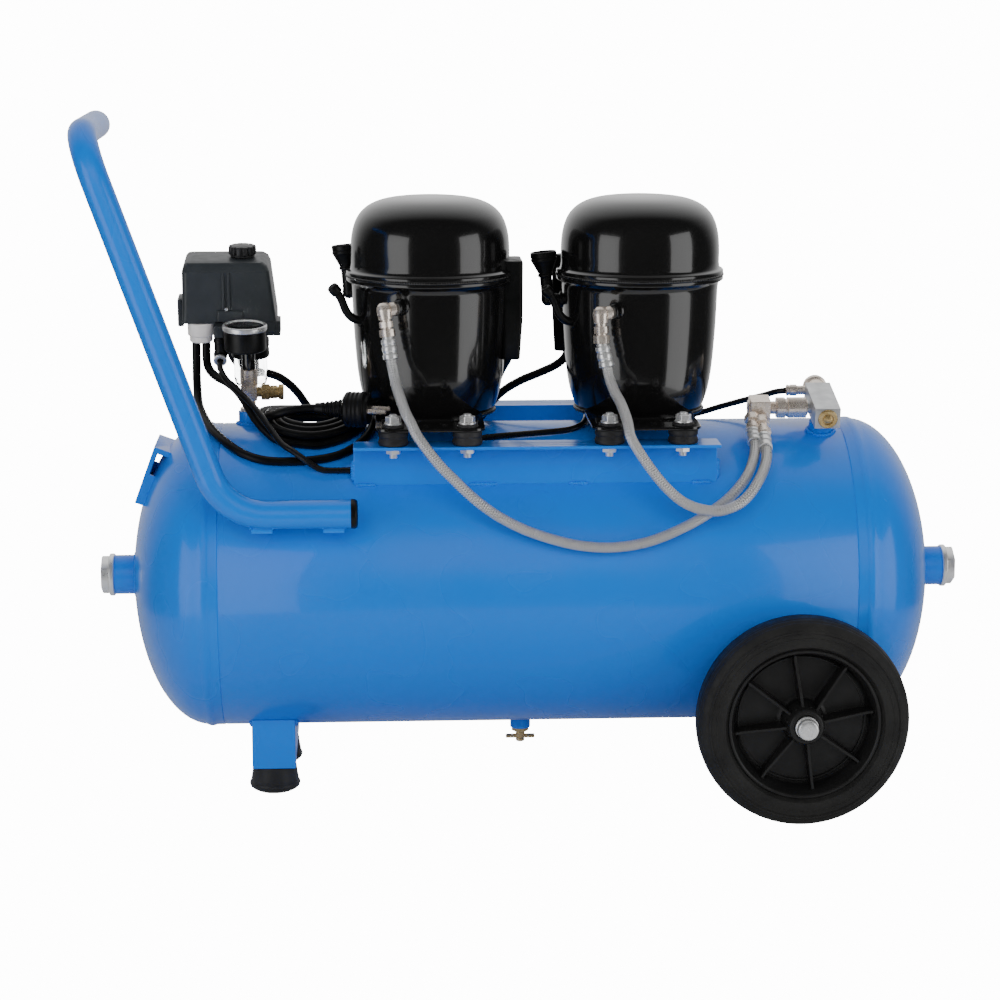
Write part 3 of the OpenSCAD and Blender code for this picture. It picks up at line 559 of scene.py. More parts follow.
MAINS_OUT = [(-260, -38, 164), (-250, -47, 168), (-238, -52, 172), (-222, -55, 175), PLUG_AT]
COIL_AT = (-216.5, -14)


def braid(run, angle, whole):
    """Radius of a braided hose: strands cross in a close diamond weave."""
    right = math.sin(STRANDS * angle + 2 * math.pi * run / BRAID_PITCH)
    left = math.sin(STRANDS * angle - 2 * math.pi * run / BRAID_PITCH)
    return HOSE_D / 2 - 0.38 + 0.38 * right * left


def cord(name, points, diameter, finish, node, radius=None, sides=20, step=2.0,
         with_pieces=(), uv=None):
    route = smooth_route(points, step)
    piece = Piece().tube(route, radius or diameter / 2, sides, uv=uv)
    made = piece.done(name, finish, stands_for=node, sharp=180)
    path = [TANK @ p for p in route]
    length = sum((q - p).length for p, q in zip(path, path[1:]))
    tuple(TANK @ Vector(points[0]))
    [tuple(p) for p in path]


def coil_route():
    """Six turns on the tank's crest: three inwards below, three outwards above."""
    turns = [(5, 0), (4, 0), (3, 0), (3, 1), (4, 1), (5, 1)]
    first = math.radians(237)
    last_turn = 5.87
    per_turn = 30
    climb_from, climb_for = 0.74, 0.14
    shift_from, shift_for = 0.87, 0.13
    points = []
    for i in range(int(last_turn * per_turn) + 1):
        turn = i / per_turn
        k = min(int(turn), 5)
        after = turns[min(k + 1, 5)]
        share = turn - k
        inward = min(1, max(0, (share - shift_from) / shift_for))
        upward = min(1, max(0, (share - climb_from) / climb_for))
        ring = turns[k][0] + (after[0] - turns[k][0]) * inward * inward * (3 - 2 * inward)
        layer = turns[k][1] + (after[1] - turns[k][1]) * upward * upward * (3 - 2 * upward)
        angle = first + 2 * math.pi * turn
        out = (ring + 1.0) * CABLE_D
        x = COIL_AT[0] + out * math.cos(angle)
        y = COIL_AT[1] + out * math.sin(angle)
        high = TANK_R + 0.6 + CABLE_D * (0.5 + layer)
        points.append((x, y, math.sqrt(high * high - y * y)))
    return points


def make_cords():
    for name, points, node in (("braided_hose_left", HOSE_LEFT, "hose_left"),
                               ("braided_hose_right", HOSE_RIGHT, "hose_right")):
        cord(name, points, HOSE_D, "braid", [node], radius=braid, sides=BRAID_SIDES, step=BRAID_STEP,
             uv=(STRANDS / BRAID_SIDES, BRAID_STEP / BRAID_PITCH))
    cord("air_tube", UNLOADER, UNLOADER_D, "black_tube", ["unloader_tube"])
    cord("supply_cable_left", CABLE_LEFT, CABLE_D, "cable_black", ["motor_cables"])
    cord("supply_cable_right", CABLE_RIGHT, CABLE_D, "cable_black", [])
    route = MAINS_IN + coil_route()[3:] + MAINS_OUT
    cord("mains_lead", route, CABLE_D, "cable_black", ["mains_cord", "mains_coil"],
         with_pieces=[make_plug()])


def make_plug():
    plug = Piece(TANK @ move(*PLUG_AT) @ spin(-13, "Z") @ TO_X)
    relief = [(0, -6), (5.4, -6), (5.6, -1)]
    for i in range(5):
        z = 1 + 4.2 * i
        r = 6.2 + 0.75 * i
        relief += [(r, z), (r + 0.3, z + 1.4), (r - 0.7, z + 2.0), (r - 0.6, z + 3.2)]
    body = [(12.5, 22), (16.8, 25), (17.3, 28), (16.6, 30), (17.4, 32), (16.7, 34), (17.4, 36),
            (16.8, 38), (17.4, 40), (17.2, 43.5), (14.0, 44.5), (14.0, 47.8), (0, 48)]
    plug.turned(relief + body, 0.8, sides=72)
    made = plug.done("mains_plug_body", "black_plastic", stands_for=["mains_plug"])
    pins = Piece(plug.place)
    for side in (-9.5, 9.5):
        pins.lathe([(0, 46), (2.4, 46), (2.4, 64.6), (1.8, 65.8), (0, 66)], move(0, side, 0), 24)
    metal_pins = pins.done("mains_plug_pins", "nickel", slot="nickel")
    metal_pins.parent = made
    return made


# ---------- tank, feet and handle ----------

def dome(radius, steps=26):
    """Half outline of a domed head, from its rim to its centre, as radius and height."""
    turns = [math.pi / 2 * i / steps for i in range(steps + 1)]
    return [(radius * math.cos(a), HEAD_H * math.sin(a)) for a in turns]


def end_outline():
    """Outline of one half of the tank, from the middle to the centre of a head."""
    seam = [(TANK_R, 0), (TANK_R, 303.4), (149.5, 304), (149.5, 304.8), (TANK_R + 0.2, 305.4),
            (TANK_R + 0.2, 313.5), (TANK_R + 0.5, 314.2), (TANK_R + 1.2, 316), (TANK_R + 1.35, 318),
            (TANK_R + 1.1, 320.2), (TANK_R + 0.3, 322.2)]
    head = [(r, BARREL_END + h) for r, h in dome(TANK_R)[1:-1]]
    return seam + head + [(0, BARREL_END + HEAD_H)]


def ring_route(height, radius, start=0.0, end=360.0, steps=60):
    """Points of a level arc about the local Z axis, angles in degrees."""
    turns = [math.radians(start + (end - start) * i / steps) for i in range(steps + 1)]
    return [Vector(polar(radius, a, height)) for a in turns]


def on_tank(x, y, lift=0.6, below=False):
    """A point on the barrel's surface over x and y."""
    r = TANK_R + lift
    z = math.sqrt(r * r - y * y)
    return (x, y, -z if below else z)


def boss_bead(x, y, radius, below=False):
    """The ring where an upright socket meets the barrel."""
    points = []
    for i in range(49):
        a = 2 * math.pi * i / 48
        points.append(on_tank(x + radius * math.cos(a), y + radius * math.sin(a), 0.5, below))
    return points


def make_tank():
    shell = Piece()
    right = end_outline()
    left = [(r, -h) for r, h in reversed(right)]
    shell.lathe(left + right[1:], TO_X, 192)
    shell.bead([(x, *seam_side()) for x in range(-302, 303, 20)], 1.6)
    shell.done("tank_shell", "blue_paint", stands_for=["tank_barrel", "tank_heads"], sharp=40)
    sockets = Piece()
    for flip in (HERE, FLIP_X):
        put = flip @ TO_X
        sockets.pipe(19.5, 16.5, 380, 414, put, 0.7, 96)
        sockets.bead(ring_route(392.2, 20.8), 2.2, put)
    sockets.pipe(11, 7, 146, 162.5, move(*RISER_AT, 0), 0.8, 72)
    sockets.bead(boss_bead(*RISER_AT, 12), 1.9)
    tilt = spin(MANIFOLD_TILT, "X")
    sockets.pipe(12, 7, 146, 160, tilt @ move(MANIFOLD_X, 0, 0), 0.8, 72)
    sockets.bead([tilt @ Vector(p) for p in boss_bead(MANIFOLD_X, 0, 13)], 1.9)
    sockets.pipe(10.2, 7, -163, -146, move(DRAIN_X, 0, 0), 0.8, 72)
    sockets.bead(boss_bead(DRAIN_X, 0, 11.2, below=True), 1.9)
    sockets.done("welded_sockets", "blue_paint", stands_for=["tank_sockets"], sharp=40)


def seam_side():
    """Where the barrel's own weld runs, low on the rear side."""
    a = math.radians(-52)
    return (TANK_R * math.cos(a), TANK_R * math.sin(a))


def make_end_plugs():
    plugs = Piece()
    for flip in (HERE, FLIP_X):
        put = flip @ TO_X
        plugs.rod(16.3, 398, 414.5, put)
        plugs.turned([(0, 413.9), (20.4, 413.9), (21.1, 414.8), (21.1, 418.4), (20.2, 419.3),
                      (0, 419.3)], 0.5, put, 96)
        plugs.nut(32.8, 419, 427, put)
        plugs.lathe([(13.2, 427.0), (13.2, 427.0001), (0, 427.0002)], put, 48)
    plugs.done("end_socket_plugs", "zinc_steel", stands_for=["end_plugs"])


def weld(name, routes, radius):
    piece = Piece()
    for route in routes:
        piece.bead(route, radius)
    piece.done(name, "blue_paint", sharp=60)


def make_rails():
    finish_cad("blue_paint", "motor_rails", edge=0.9)
    beads = []
    spots = Piece()
    for side in (-1, 1):
        y = side * 104.0
        for start, end in ((-174, -150), (-66, -36), (30, 52), (148, 172)):
            beads.append([on_tank(x, y, 0.4) for x in range(start, end, 4)])
        for x in (-176.2, 173.7):
            beads.append([(x, side * 101.8, z) for z in range(112, 134, 4)])
        for x in (-153, -41, 52, 152):
            put = move(x, side * 103.3, 131) @ spin(180 - 90 * side, "X")
            spots.lathe([(0, 1.05), (2.4, 0.95), (3.9, 0.7), (4.4, 0.2), (4.4, -0.4), (0, -0.4)], put, 32)
    weld("rail_welds", beads, 2.1)
    spots.done("rail_spot_welds", "blue_paint", sharp=60)


HANDLE_R = 13.5
HANDLE_Y = 163.0
HANDLE_Z = 93.2
SLOPE = math.radians(19.5)
LOW_BEND_R = 56
TOP_BEND_R = 46
CROSSBAR = Vector((-420.5, -HANDLE_Y, 444.3))


def handle_route():
    """From the open end along the tank, up the slope and over to the end of the crossbar."""
    slope = Vector((-math.sin(SLOPE), 0, math.cos(SLOPE)))
    low = Vector((CROSSBAR.x + math.tan(SLOPE) * (CROSSBAR.z - HANDLE_Z), -HANDLE_Y, HANDLE_Z))
    turn = math.pi / 2 - SLOPE
    run = LOW_BEND_R * math.tan(turn / 2)
    points = [Vector((x, -HANDLE_Y, HANDLE_Z)) for x in (-178, -200, -222, -244)]
    for i in range(25):
        a = -math.pi / 2 - turn * i / 24
        out = Vector((math.cos(a), 0, math.sin(a)))
        points.append(low + Vector((run, 0, LOW_BEND_R)) + LOW_BEND_R * out)
    low_end = points[-1].copy()
    high = []
    for i in range(25):
        a = math.pi / 2 * i / 24
        out = slope * (math.sin(a) - 1) - Vector((0, math.cos(a), 0))
        high.append(CROSSBAR + Vector((0, TOP_BEND_R, 0)) + TOP_BEND_R * out)
    points += [low_end.lerp(high[0], i / 14) for i in range(1, 14)]
    points += high
    points += [CROSSBAR + Vector((0, y, 0)) for y in (70, 100, 130, 173)]
    return points


def make_handle():
    def rounded_end(run, angle, whole):
        """Radius of the tube: its far end is closed and rounded over."""
        left = min(1.0, (whole - run) / 3.0)
        return HANDLE_R - 3.0 + 3.0 * math.sqrt(max(0.0, 1 - (1 - left) ** 2))

    route = handle_route()
    shares = (0.5, 0.93, 0.95, 0.965, 0.98, 0.99, 0.996, 1)
    route = route[:-1] + [route[-2].lerp(route[-1], t) for t in shares]
    handle = Piece().tube(route, rounded_end, 64)
    for x in (-261, -194):
        handle.block((x - 10, -166, 75.5), (x + 10, -126, 81.5), round_by=1.0)
        for z, lift in ((82.3, 1), (74.7, -1)):
            y = -math.sqrt((TANK_R + 0.6) ** 2 - z * z)
            handle.bead([(x - 9, y - 0.6, z), (x, y - 0.6, z), (x + 9, y - 0.6, z)], 1.9)
        for end in (-1, 1):
            handle.bead([(x + end * 10.4, y, 81.6) for y in (-171, -164, -157, -151)], 1.7)
    handle.done("push_handle", "blue_paint", stands_for=["handle_tube"], sharp=40)
    cap = Piece()
    cap.turned([(0, -3), (12.2, -3), (12.2, 0), (13.9, 0), (13.9, 4.6), (11.5, 6.5), (0, 6.5)], 1.2,
               move(-178, -HANDLE_Y, HANDLE_Z) @ TO_X, 64)
    cap.done("handle_end_plug", "black_plastic", stands_for=["handle_end_cap"])


def make_plate_bracket():
    finish_cad("blue_paint", "data_plate_bracket", edge=0.8)
    place = move(-378.2, 0, 107) @ spin(20.3, "Y")
    beads = []
    for y in (-30, 30):
        beads.append([place @ Vector((x, y, -29.9)) for x in (8, 13, 18, 22)])
    weld("bracket_welds", beads, 1.9)


def under_tank(x, side, steps):
    """A weld across the underside of the barrel."""
    return [on_tank(x, side * y, 0.8, below=True) for y in steps]


def make_feet():
    finish_cad("blue_paint", "foot_bracket", edge=1.0)
    feet = Piece()
    bolts = Piece()
    line = [(0, 0), (17.5, 0), (19, 0.6), (22.4, 2.4), (24.2, 4), (25.2, 7), (24.6, 9), (23.4, 10.5),
            (23.6, 12), (22.9, 15.5), (22.2, 20), (21.6, 25.6), (20.6, 27), (0, 27)]
    for side in (-1, 1):
        put = move(FOOT_X, side * FOOT_Y, FLOOR_Z)
        feet.turned(line, 0.7, put, 96)
        bolts.rod(4, 26, 42, put)
        bolts.rod(8.4, 30, 31.6, put, 0.3)
        bolts.nut(13, 31.6, 38, put)
    feet.done("rubber_foot_pads", "black_rubber", stands_for=["rubber_feet"])
    bolts.done("foot_bolts", "zinc_steel")
    beads = []
    for x in (FOOT_X - FOOT_HALF, FOOT_X + FOOT_HALF):
        for side in (-1, 1):
            beads.append(under_tank(x, side, range(40, 72, 4)))
    weld("foot_welds", beads, 2.0)


# ---------- wheels ----------

RIBS = 8
FIRST_RIB = 98.6
TYRE_MIDDLE = 180
RIM_LINE = [(0, 155), (20, 155), (20, 166), (60, 170.5), (63, 162.5), (72, 162), (73, 164), (68, 172),
            (68, 188), (72.6, 195.5), (73.2, 197.0), (72.4, 198.4), (70.6, 198.6), (69.2, 197.4),
            (66.5, 189), (64.4, 175), (62.5, 173.4), (24, 176.8), (20.5, 178.4), (19.6, 184), (17.2, 205),
            (15.6, 207.6), (13.2, 208.2), (11.4, 207.4), (11.2, 200), (0, 200)]
TYRE_LINE = [(67, 172), (72.6, 164), (76, 158), (80, 157.6), (88, 158.2), (93.5, 159.8), (97, 162.6),
             (98.6, 164.6), (98.5, 166), (99.5, 167.2), (100.5, 169.2), (100.4, 170.4), (101.1, 171.8),
             (101.5, 176), (101.5, 180)]


def make_wheel(side, body, tail):
    put = WHEEL @ TO_FRONT if side < 0 else WHEEL @ FLIP_Y @ TO_FRONT
    rim = Piece(put)
    rim.turned(RIM_LINE, 0.8, sides=144)
    rib = [(15, 172), (66.5, 172), (67.8, 190), (66, 191.5), (60, 190.6), (19, 198.8), (15, 199)]
    step = 360 / RIBS
    turns = [FIRST_RIB + step * k for k in range(RIBS)]
    for turn in turns:
        rim.prism(rib, -1.3, 1.3, spin(turn, "Z") @ TO_FRONT, 0.5)
    for turn in turns:
        rim.block((14.6, -0.9, 178), (18.8, 0.9, 201), spin(turn + step / 2, "Z"), 0.4)
    rim.pipe(61.4, 59.8, 172, 176.3, sides=144)
    rim.done("rim_" + tail, "rim_plastic", body, ["wheel_rim_" + tail])
    tyre = Piece(put)
    half = soft(TYRE_LINE, 0.6)
    far = [(r, 2 * TYRE_MIDDLE - h) for r, h in reversed(half)][1:]
    tyre.lathe(half + far + [(68, 188), (68, 172)], sides=192, closed=True)
    for r, bump in ((84.5, 0.55), (90.5, 0.45)):
        for h, out in ((202.2, 1), (157.8, -1)):
            line = [(r - 1.2, h - out * 0.6), (r - 0.5, h + out * bump * 0.4),
                    (r, h + out * bump * 0.6), (r + 0.5, h + out * bump * 0.3),
                    (r + 1.2, h - out * 0.7)]
            tyre.lathe(line, sides=192, closed=True)
    tyre.done("tyre_tread_" + tail, "tyre_rubber", body, ["tyre_" + tail])
    cap = Piece(put)
    cap.turned([(0, 209.6), (9.2, 209.6), (9.6, 212), (10.2, 213), (10.1, 216.8), (9.0, 218.4),
                (6.5, 218.9), (0, 219)], 0.8, sides=72)
    cap.turned([(10, 208.0), (11.1, 208.0), (11.1, 209.2), (10.6, 209.8), (0, 209.8)], 0.3, sides=72)
    return cap


def make_wheels():
    for side, body, tail in ((-1, "front_wheel", "front"), (1, "rear_wheel", "rear")):
        cap = make_wheel(side, body, tail)
        cap.done("hub_cap_" + tail, "zinc_steel", stands_for=["axle_caps"])
    finish_cad("zinc_steel", "wheel_axles", edge=0.6)
    finish_cad("blue_paint", "axle_bracket", edge=0.9)
    beads = []
    for x in (WHEEL_X - AXLE_HALF, WHEEL_X + AXLE_HALF):
        for side in (-1, 1):
            beads.append(under_tank(x, side, range(112, 132, 3)))
            beads.append(under_tank(x, side, range(-16, 17, 4)))
    weld("axle_bracket_welds", beads, 2.0)


def make_drain():
    body = Piece(TANK @ move(DRAIN_X, 0, 0))
    body.rod(6.9, -164, -150)
    body.nut(15, -167, -163)
    body.done("drain_tap_body", "brass", stands_for=["drain_body"])
    screw = Piece(body.place)
    screw.turned([(0, -178), (3.6, -178), (4.5, -177), (4.5, -175), (3.6, -174.2), (4.5, -173.4),
                  (4.5, -168), (3.2, -167), (3.2, -160), (0, -160)], 0.4, sides=48)
    screw.turned([(0, -14.6), (1.7, -14.6), (2.2, -13.8), (2.2, 13.8), (1.7, 14.6), (0, 14.6)], 0.4,
                 move(0, 0, -172.7) @ TO_X, 32)
    screw.done("drain_tap_screw", "brass", "drain_tap", ["drain_screw"])


# ---------- motors ----------

LOWER_LINE = [(0, 154.5), (38, 154.5), (50, 157), (58, 161.5), (63, 169), (66.5, 178.5), (69, 188),
              (71.5, 203), (73.4, 222), (75.3, 250), (76.7, 285), (77.4, 290), (79.6, 292.4),
              (81.4, 293.0), (82, 293.8), (82, 296.9), (81.2, 297.8), (78.5, 298)]
UPPER_LINE = [(78.5, 298), (81.3, 298.2), (82, 299.0), (82, 302.4), (81.3, 303.3), (79.2, 303.9),
              (78.2, 305.6), (77.7, 310), (77.7, 325), (76.5, 338), (73.2, 350), (67.5, 359.5),
              (58, 367), (44, 372), (24, 374.5), (0, 375)]


def smooth_part(outline, first, last):
    """The outline with the curve between two of its points drawn smooth."""
    middle = smooth_route([(r, h, 0) for r, h in outline[first:last + 1]], 1.6)
    return outline[:first] + [(p.x, p.y) for p in middle] + outline[last + 1:]


def make_motors():
    for x, tail in zip(MOTOR_X, ("left", "right")):
        low = Piece(TANK @ move(x, 0, 0))
        low.lathe(smooth_part(LOWER_LINE, 1, 10), sides=160)
        low.bead(ring_route(165.2, 62.4), 2.0)
        name = "lower_shell_" + tail
        low.done(name, "black_enamel", stands_for=["motor_" + name], sharp=50)
        top = Piece(low.place)
        line = smooth_part(UPPER_LINE, 7, 15)
        line[-1] = (0, line[-1][1])
        top.lathe(line, sides=160)
        top.bead(ring_route(298.1, 81.2, steps=120), 1.35)
        top.bead(ring_route(298.4, 81.3, 236, 304, 40), 1.9)
        name = "upper_shell_" + tail
        top.done(name, "black_enamel", stands_for=["motor_" + name], sharp=50)


def make_bases():
    bases = Piece()
    for cx in PLATE_X:
        bases.prism(square(-52, 52, -134, 134, 12), 164.5, 167.5, move(cx, 0, 0), 0.8)
        for side in (-1, 1):
            bases.block((-46, -1.2, 166), (46, 1.2, 170.5), move(cx, side * 96, 0), 0.7)
    bases.done("motor_base_plates", "black_enamel", stands_for=["motor_bases"])


def bolt_places():
    for cx in PLATE_X:
        for sx in (-1, 1):
            for sy in (-1, 1):
                yield move(cx + sx * BOLT_DX, sy * BOLT_Y, 0)


def thread(radius, low, high, pitch=1.25):
    """Outline of a threaded shank."""
    out = [(0, low)]
    z = low
    while z + pitch <= high:
        out += [(radius - 0.55, z), (radius, z + pitch * 0.45), (radius, z + pitch * 0.6)]
        z += pitch
    return out + [(radius - 0.55, high), (0, high)]


def make_mounts():
    rubber = Piece()
    steel = Piece()
    for put in bolt_places():
        rubber.turned([(4.2, 150.4), (12.6, 150.4), (14.1, 151.4), (14.4, 154), (13.3, 157.2),
                       (13.2, 158.2), (14.1, 159.4), (14.2, 163.4), (13.4, 164.5), (7.5, 164.5),
                       (7.5, 167.5), (10.2, 167.5), (10.6, 168.4), (10.0, 170.5), (4.2, 170.5),
                       (4.2, 160)], 0.5, put, 72, closed=True)
        steel.lathe(thread(4.0, 138, 180), put, 32)
        steel.pipe(8.5, 4.1, 170.5, 172.1, put, 0.3)
        steel.nut(13, 172.1, 178, put, turn=8)
        steel.nut(12.5, 142.4, 147.4, put, turn=20)
    rubber.done("vibration_mounts", "black_rubber", stands_for=["motor_grommets"])
    steel.done("mount_bolts", "zinc_steel", stands_for=["motor_bolts"], sharp=28)


def make_covers():
    covers = Piece()
    for index, turn in ((0, 0), (1, 140)):
        put = move(MOTOR_X[index], 0, 0) @ spin(turn, "Z")
        levels = ((216.6, 86.0, 24.4, 3), (217.6, 87.0, 25, 3.6), (256, 89.7, 25, 3.6),
                  (311.5, 90, 25, 3.6), (312.6, 89.6, 24.6, 3.4), (313, 88.9, 24, 3))
        covers.loft([(z, 70, x, -half, half, r) for z, x, half, r in levels], put)
        covers.rod(4.2, 0, 4, put @ move(70, 0, 312.2))
    covers.done("terminal_box_covers", "black_plastic", stands_for=["terminal_covers"])


def make_intakes():
    filters = Piece()
    for index, turn, z in ((0, 152, 276), (1, 176, 272)):
        put = move(MOTOR_X[index], 0, z) @ spin(turn, "Z")
        up = put @ move(90, 0, 0) @ spin(6, "Y")
        pipe = [(0, 70), (8.2, 70), (8.2, 78), (6.0, 79), (5.8, 90), (0, 90)]
        filters.turned(pipe, 0.5, put @ TO_X, 56)
        filters.turned([(0, -6.7), (4, -5.6), (6.4, -2.4), (6.7, 1), (6.2, 4), (6, 6), (6, 22), (7.6, 23),
                        (7.6, 25), (6.8, 26), (12.3, 38), (13, 38.8), (13, 41), (12.5, 41.7), (13, 42.4),
                        (13, 46.4), (12.4, 47.4), (10.6, 47.4), (9.8, 45), (0, 44.6)], 0.6, up, 72)
    filters.done("suction_filters", "black_plastic", stands_for=["intake_filters"])


def make_stubs():
    stubs = Piece()
    for index, z in ((0, 258), (1, 255)):
        put = move(MOTOR_X[index], 0, 0)
        base = Vector((-66.5, -28.5, z - 1))
        tip = Vector((-93, -38, z + 30))
        sag = ((0.2, (-3.5, -1.2, -4.0)), (0.45, (-3.6, -1, -4.4)), (0.75, (-0.8, 0, -1.0)))
        route = [base] + [base.lerp(tip, t) + Vector(by) for t, by in sag] + [tip]
        stubs.tube(smooth_route(route, 1.0), 4.1, 28, put)
        cap = [(0, 4.2), (2.6, 4.4), (3.2, 5.5), (5.2, 4.6), (5.8, 2), (5.6, -4), (4.1, -5), (0, -5)]
        stubs.turned(cap, 0.6, put @ along(tip, tip + (tip - base)), 40)
        stubs.rod(7, -2, 2.5, put @ along(base, route[1]))
    stubs.done("process_stubs", "black_plastic", stands_for=["process_tubes"])


# ---------- discharge line ----------

def ferrule(piece, start, end, radius, neck=5.6):
    """A crimped hose sleeve between two points, with its two crimp grooves."""
    length = reach(start, end)
    line = [(0, 0), (radius - 0.6, 0), (radius - 0.2, 0.6)]
    for at in (0.3, 0.68):
        line += [(radius, length * (at - 0.09)), (radius - 0.7, length * (at - 0.04)),
                 (radius - 0.7, length * (at + 0.04)), (radius, length * (at + 0.09))]
    line += [(radius, length - 0.4), (neck, length), (neck, length - 1), (0, length - 1)]
    piece.turned(line, 0.5, along(start, end), 56)


def nut_between(piece, start, end, flat, turn):
    length = reach(start, end)
    piece.nut(flat, 0, length, along(start, end), turn)


ELBOW_Z = (275, 270)
ELBOW_END = ((-141.6, -88, 249), (62.6, -88, 241))


def make_elbows():
    ports = Piece()
    elbows = Piece()
    for index in (0, 1):
        base = Vector((MOTOR_X[index] - 29.6, -69.6, ELBOW_Z[index]))
        tip = Vector((MOTOR_X[index] - 35.5, -83, ELBOW_Z[index]))
        top = Vector((MOTOR_X[index] - 45.5, -85, ELBOW_Z[index] - 1))
        end = Vector(ELBOW_END[index])
        length = reach(base, tip)
        port = [(0, -4), (8.4, -4), (8.4, 1.2), (7, 2.4), (7, length - 1), (6.2, length), (0, length)]
        ports.turned(port, 0.7, along(base, tip), 56)
        nut_between(elbows, tip.lerp(top, 0.05), tip.lerp(top, 0.5), 12.4, 15)
        elbows.rod(5.4, -1, reach(tip, top), along(tip, top))
        bend = [(0, -7.6), (4, -7.0), (6.6, -4.2), (7.7, 0), (7.4, 3.0), (6.8, 6), (6.8, 9), (0, 9)]
        elbows.turned(bend, 0.8, along(top, end), 56)
        down = reach(top, end)
        nut_between(elbows, top.lerp(end, 0.42), top.lerp(end, 0.66), 12.6, 10)
        elbows.rod(5.2, down * 0.2, down * 0.99, along(top, end))
        nut_between(elbows, top.lerp(end, 0.72), end, 13.6, 24)
    ports.done("discharge_ports", "black_enamel", slot="black_plastic")
    elbows.done("discharge_elbow_fittings", "nickel", stands_for=["discharge_elbows"])


def make_hose_ends():
    steel = Piece()
    brassy = Piece()
    for start, hose in zip(ELBOW_END, (HOSE_LEFT[0], HOSE_RIGHT[0])):
        start, hose = Vector(start), Vector(hose)
        ferrule(steel, start.lerp(hose, 0.12), hose + (hose - start).normalized() * 1.2, 7.3)
        steel.rod(5.4, 0, reach(start, hose) * 0.3, along(start, hose))
    tees = (((222, -53, 160), (222, -67, 152), HOSE_RIGHT[-1], 13.2),
            ((213, -50, 163), (212.5, -61, 155), HOSE_LEFT[-1], 12.6))
    for port, nipple, hose, flat in tees:
        port, nipple, hose = Vector(port), Vector(nipple), Vector(hose)
        nut_between(brassy, port, port.lerp(nipple, 0.55), flat, 5)
        brassy.rod(flat * 0.37, 0, reach(port, nipple) + 2, along(port, nipple))
        nut_between(brassy, nipple, nipple.lerp(hose, 0.3), flat, 20)
        ferrule(steel, nipple.lerp(hose, 0.32), hose + (hose - nipple).normalized() * 1.2, 6.9)
    steel.done("hose_ferrules", "zinc_steel", stands_for=["hose_fittings"])
    brassy.done("hose_unions", "nickel")


def make_manifold():
    tee = Piece(SHOULDER @ move(-MANIFOLD_X, 0, -2))
    tee.block((212, -10, -10), (232, 10, 10), round_by=1.4, segments=3)
    tee.lathe(thread(6.6, 231, 238.5), TO_X, 40)
    tee.rod(7.6, -1.6, 2, move(212, 0, 0) @ TO_X)
    tee.done("manifold_tee_block", "nickel", stands_for=["manifold_tee"])
    valve = Piece(tee.place)
    valve.nut(19, 238.5, 247, TO_X, 12)
    valve.rod(8.6, 246, 250, TO_X, 0.3)
    valve.nut(19, 249.4, 267.6, TO_X, 12)
    valve.rod(7.8, 266, 269, TO_X, 0.3)
    valve.done("check_valve_body", "nickel", stands_for=["check_valve"])
    bar = Piece(SHOULDER)
    bar.block((-12.5, -34, -10.5), (12.5, 34, 10.5), round_by=0.9)
    bar.rod(7, -16.4, -10, sides=48)
    bar.nut(17, -16.4, -11.5, turn=10)
    bar.rod(5.6, -16, -12, move(0, 0, -2) @ TO_X)
    bar.done("manifold_body", "alloy", stands_for=["manifold_bar"])


def make_air_fittings():
    plug = Piece(SHOULDER @ TO_FRONT)
    plug.turned([(0, 30), (6, 30), (6, 34), (9.6, 34), (9.6, 35.2), (8.9, 36), (5.6, 36),
                 (5.2, 34.6), (0, 34.6)], 0.3, sides=72)
    plug.nut(7, 33.8, 35.9)
    plug.rod(1.4, 34, 36, round_by=0.2, sides=20)
    plug.done("manifold_plug", "brass", stands_for=["air_fittings"])
    dome_nut = Piece(SHOULDER)
    dome_nut.turned([(0, -4), (10, -4), (10, 10.5), (12, 11), (12, 15), (11.2, 18.2), (9.3, 20.0),
                     (9, 20), (0, 20)], 0.9, move(0, 34, 0) @ TO_REAR, 72)
    push = move(0, 39.5, 0) @ spin(-90, "Y")
    dome_nut.turned([(0, 6), (4.5, 6), (4.5, 19.4), (5.6, 20), (5.6, 26), (4.9, 26.6),
                     (4.9, 27.4), (5.5, 28), (5.5, 29.4), (4.6, 30), (3.2, 30), (3.2, 28.6),
                     (0, 28.6)], 0.4, push, 56)
    dome_nut.done("push_in_fitting", "nickel")
    bend = (-28, 13, 54)
    mouth = (-28, 4.6, 50.3)
    elbow = Piece(RISER)
    elbow.turned([(0, 50), (5.8, 50), (6, 54), (6, 66), (6.6, 66.4), (6.6, 70), (6, 70.4),
                  (6, 72), (0, 72)], 0.5, move(-28, 13, 0), 48)
    elbow.turned([(0, -6.9), (4.2, -5.6), (6.6, -2.4), (6.9, 0.5), (6.4, 3), (0, 3)], 1.2,
                 move(*bend), 48)
    elbow.rod(5.5, 0, reach(bend, mouth), along(bend, mouth))
    elbow.done("unloader_elbow", "black_plastic")
    collar = Piece(RISER).pipe(6.6, 3.1, 7.6, 10.6, along(bend, (-28, 4, 50)), 0.8, 64)
    collar.done("unloader_collar", "zinc_steel")


# ---------- riser, gauge, switch and filter ----------

def make_riser():
    brassy = Piece(RISER)
    brassy.rod(6.5, -12, 2, round_by=0.3)
    brassy.nut(16, 0.6, 3.6)
    brassy.lathe(thread(6.3, 3, 12.4), sides=40)
    brassy.block((-8, -8, 12), (8, 8, 27), round_by=0.9)
    brassy.nut(15, 27, 42.5)
    brassy.rod(6.4, 41, 44)
    brassy.done("riser_fittings", "nickel", stands_for=["riser_manifold"])
    stem = Piece(RISER)
    stem.rod(6.6, 42.5, 62.5)
    stem.rod(5, 0, 28, move(0, 0, 51) @ TO_REAR)
    stem.done("gauge_stem", "black_enamel", slot="black_plastic")


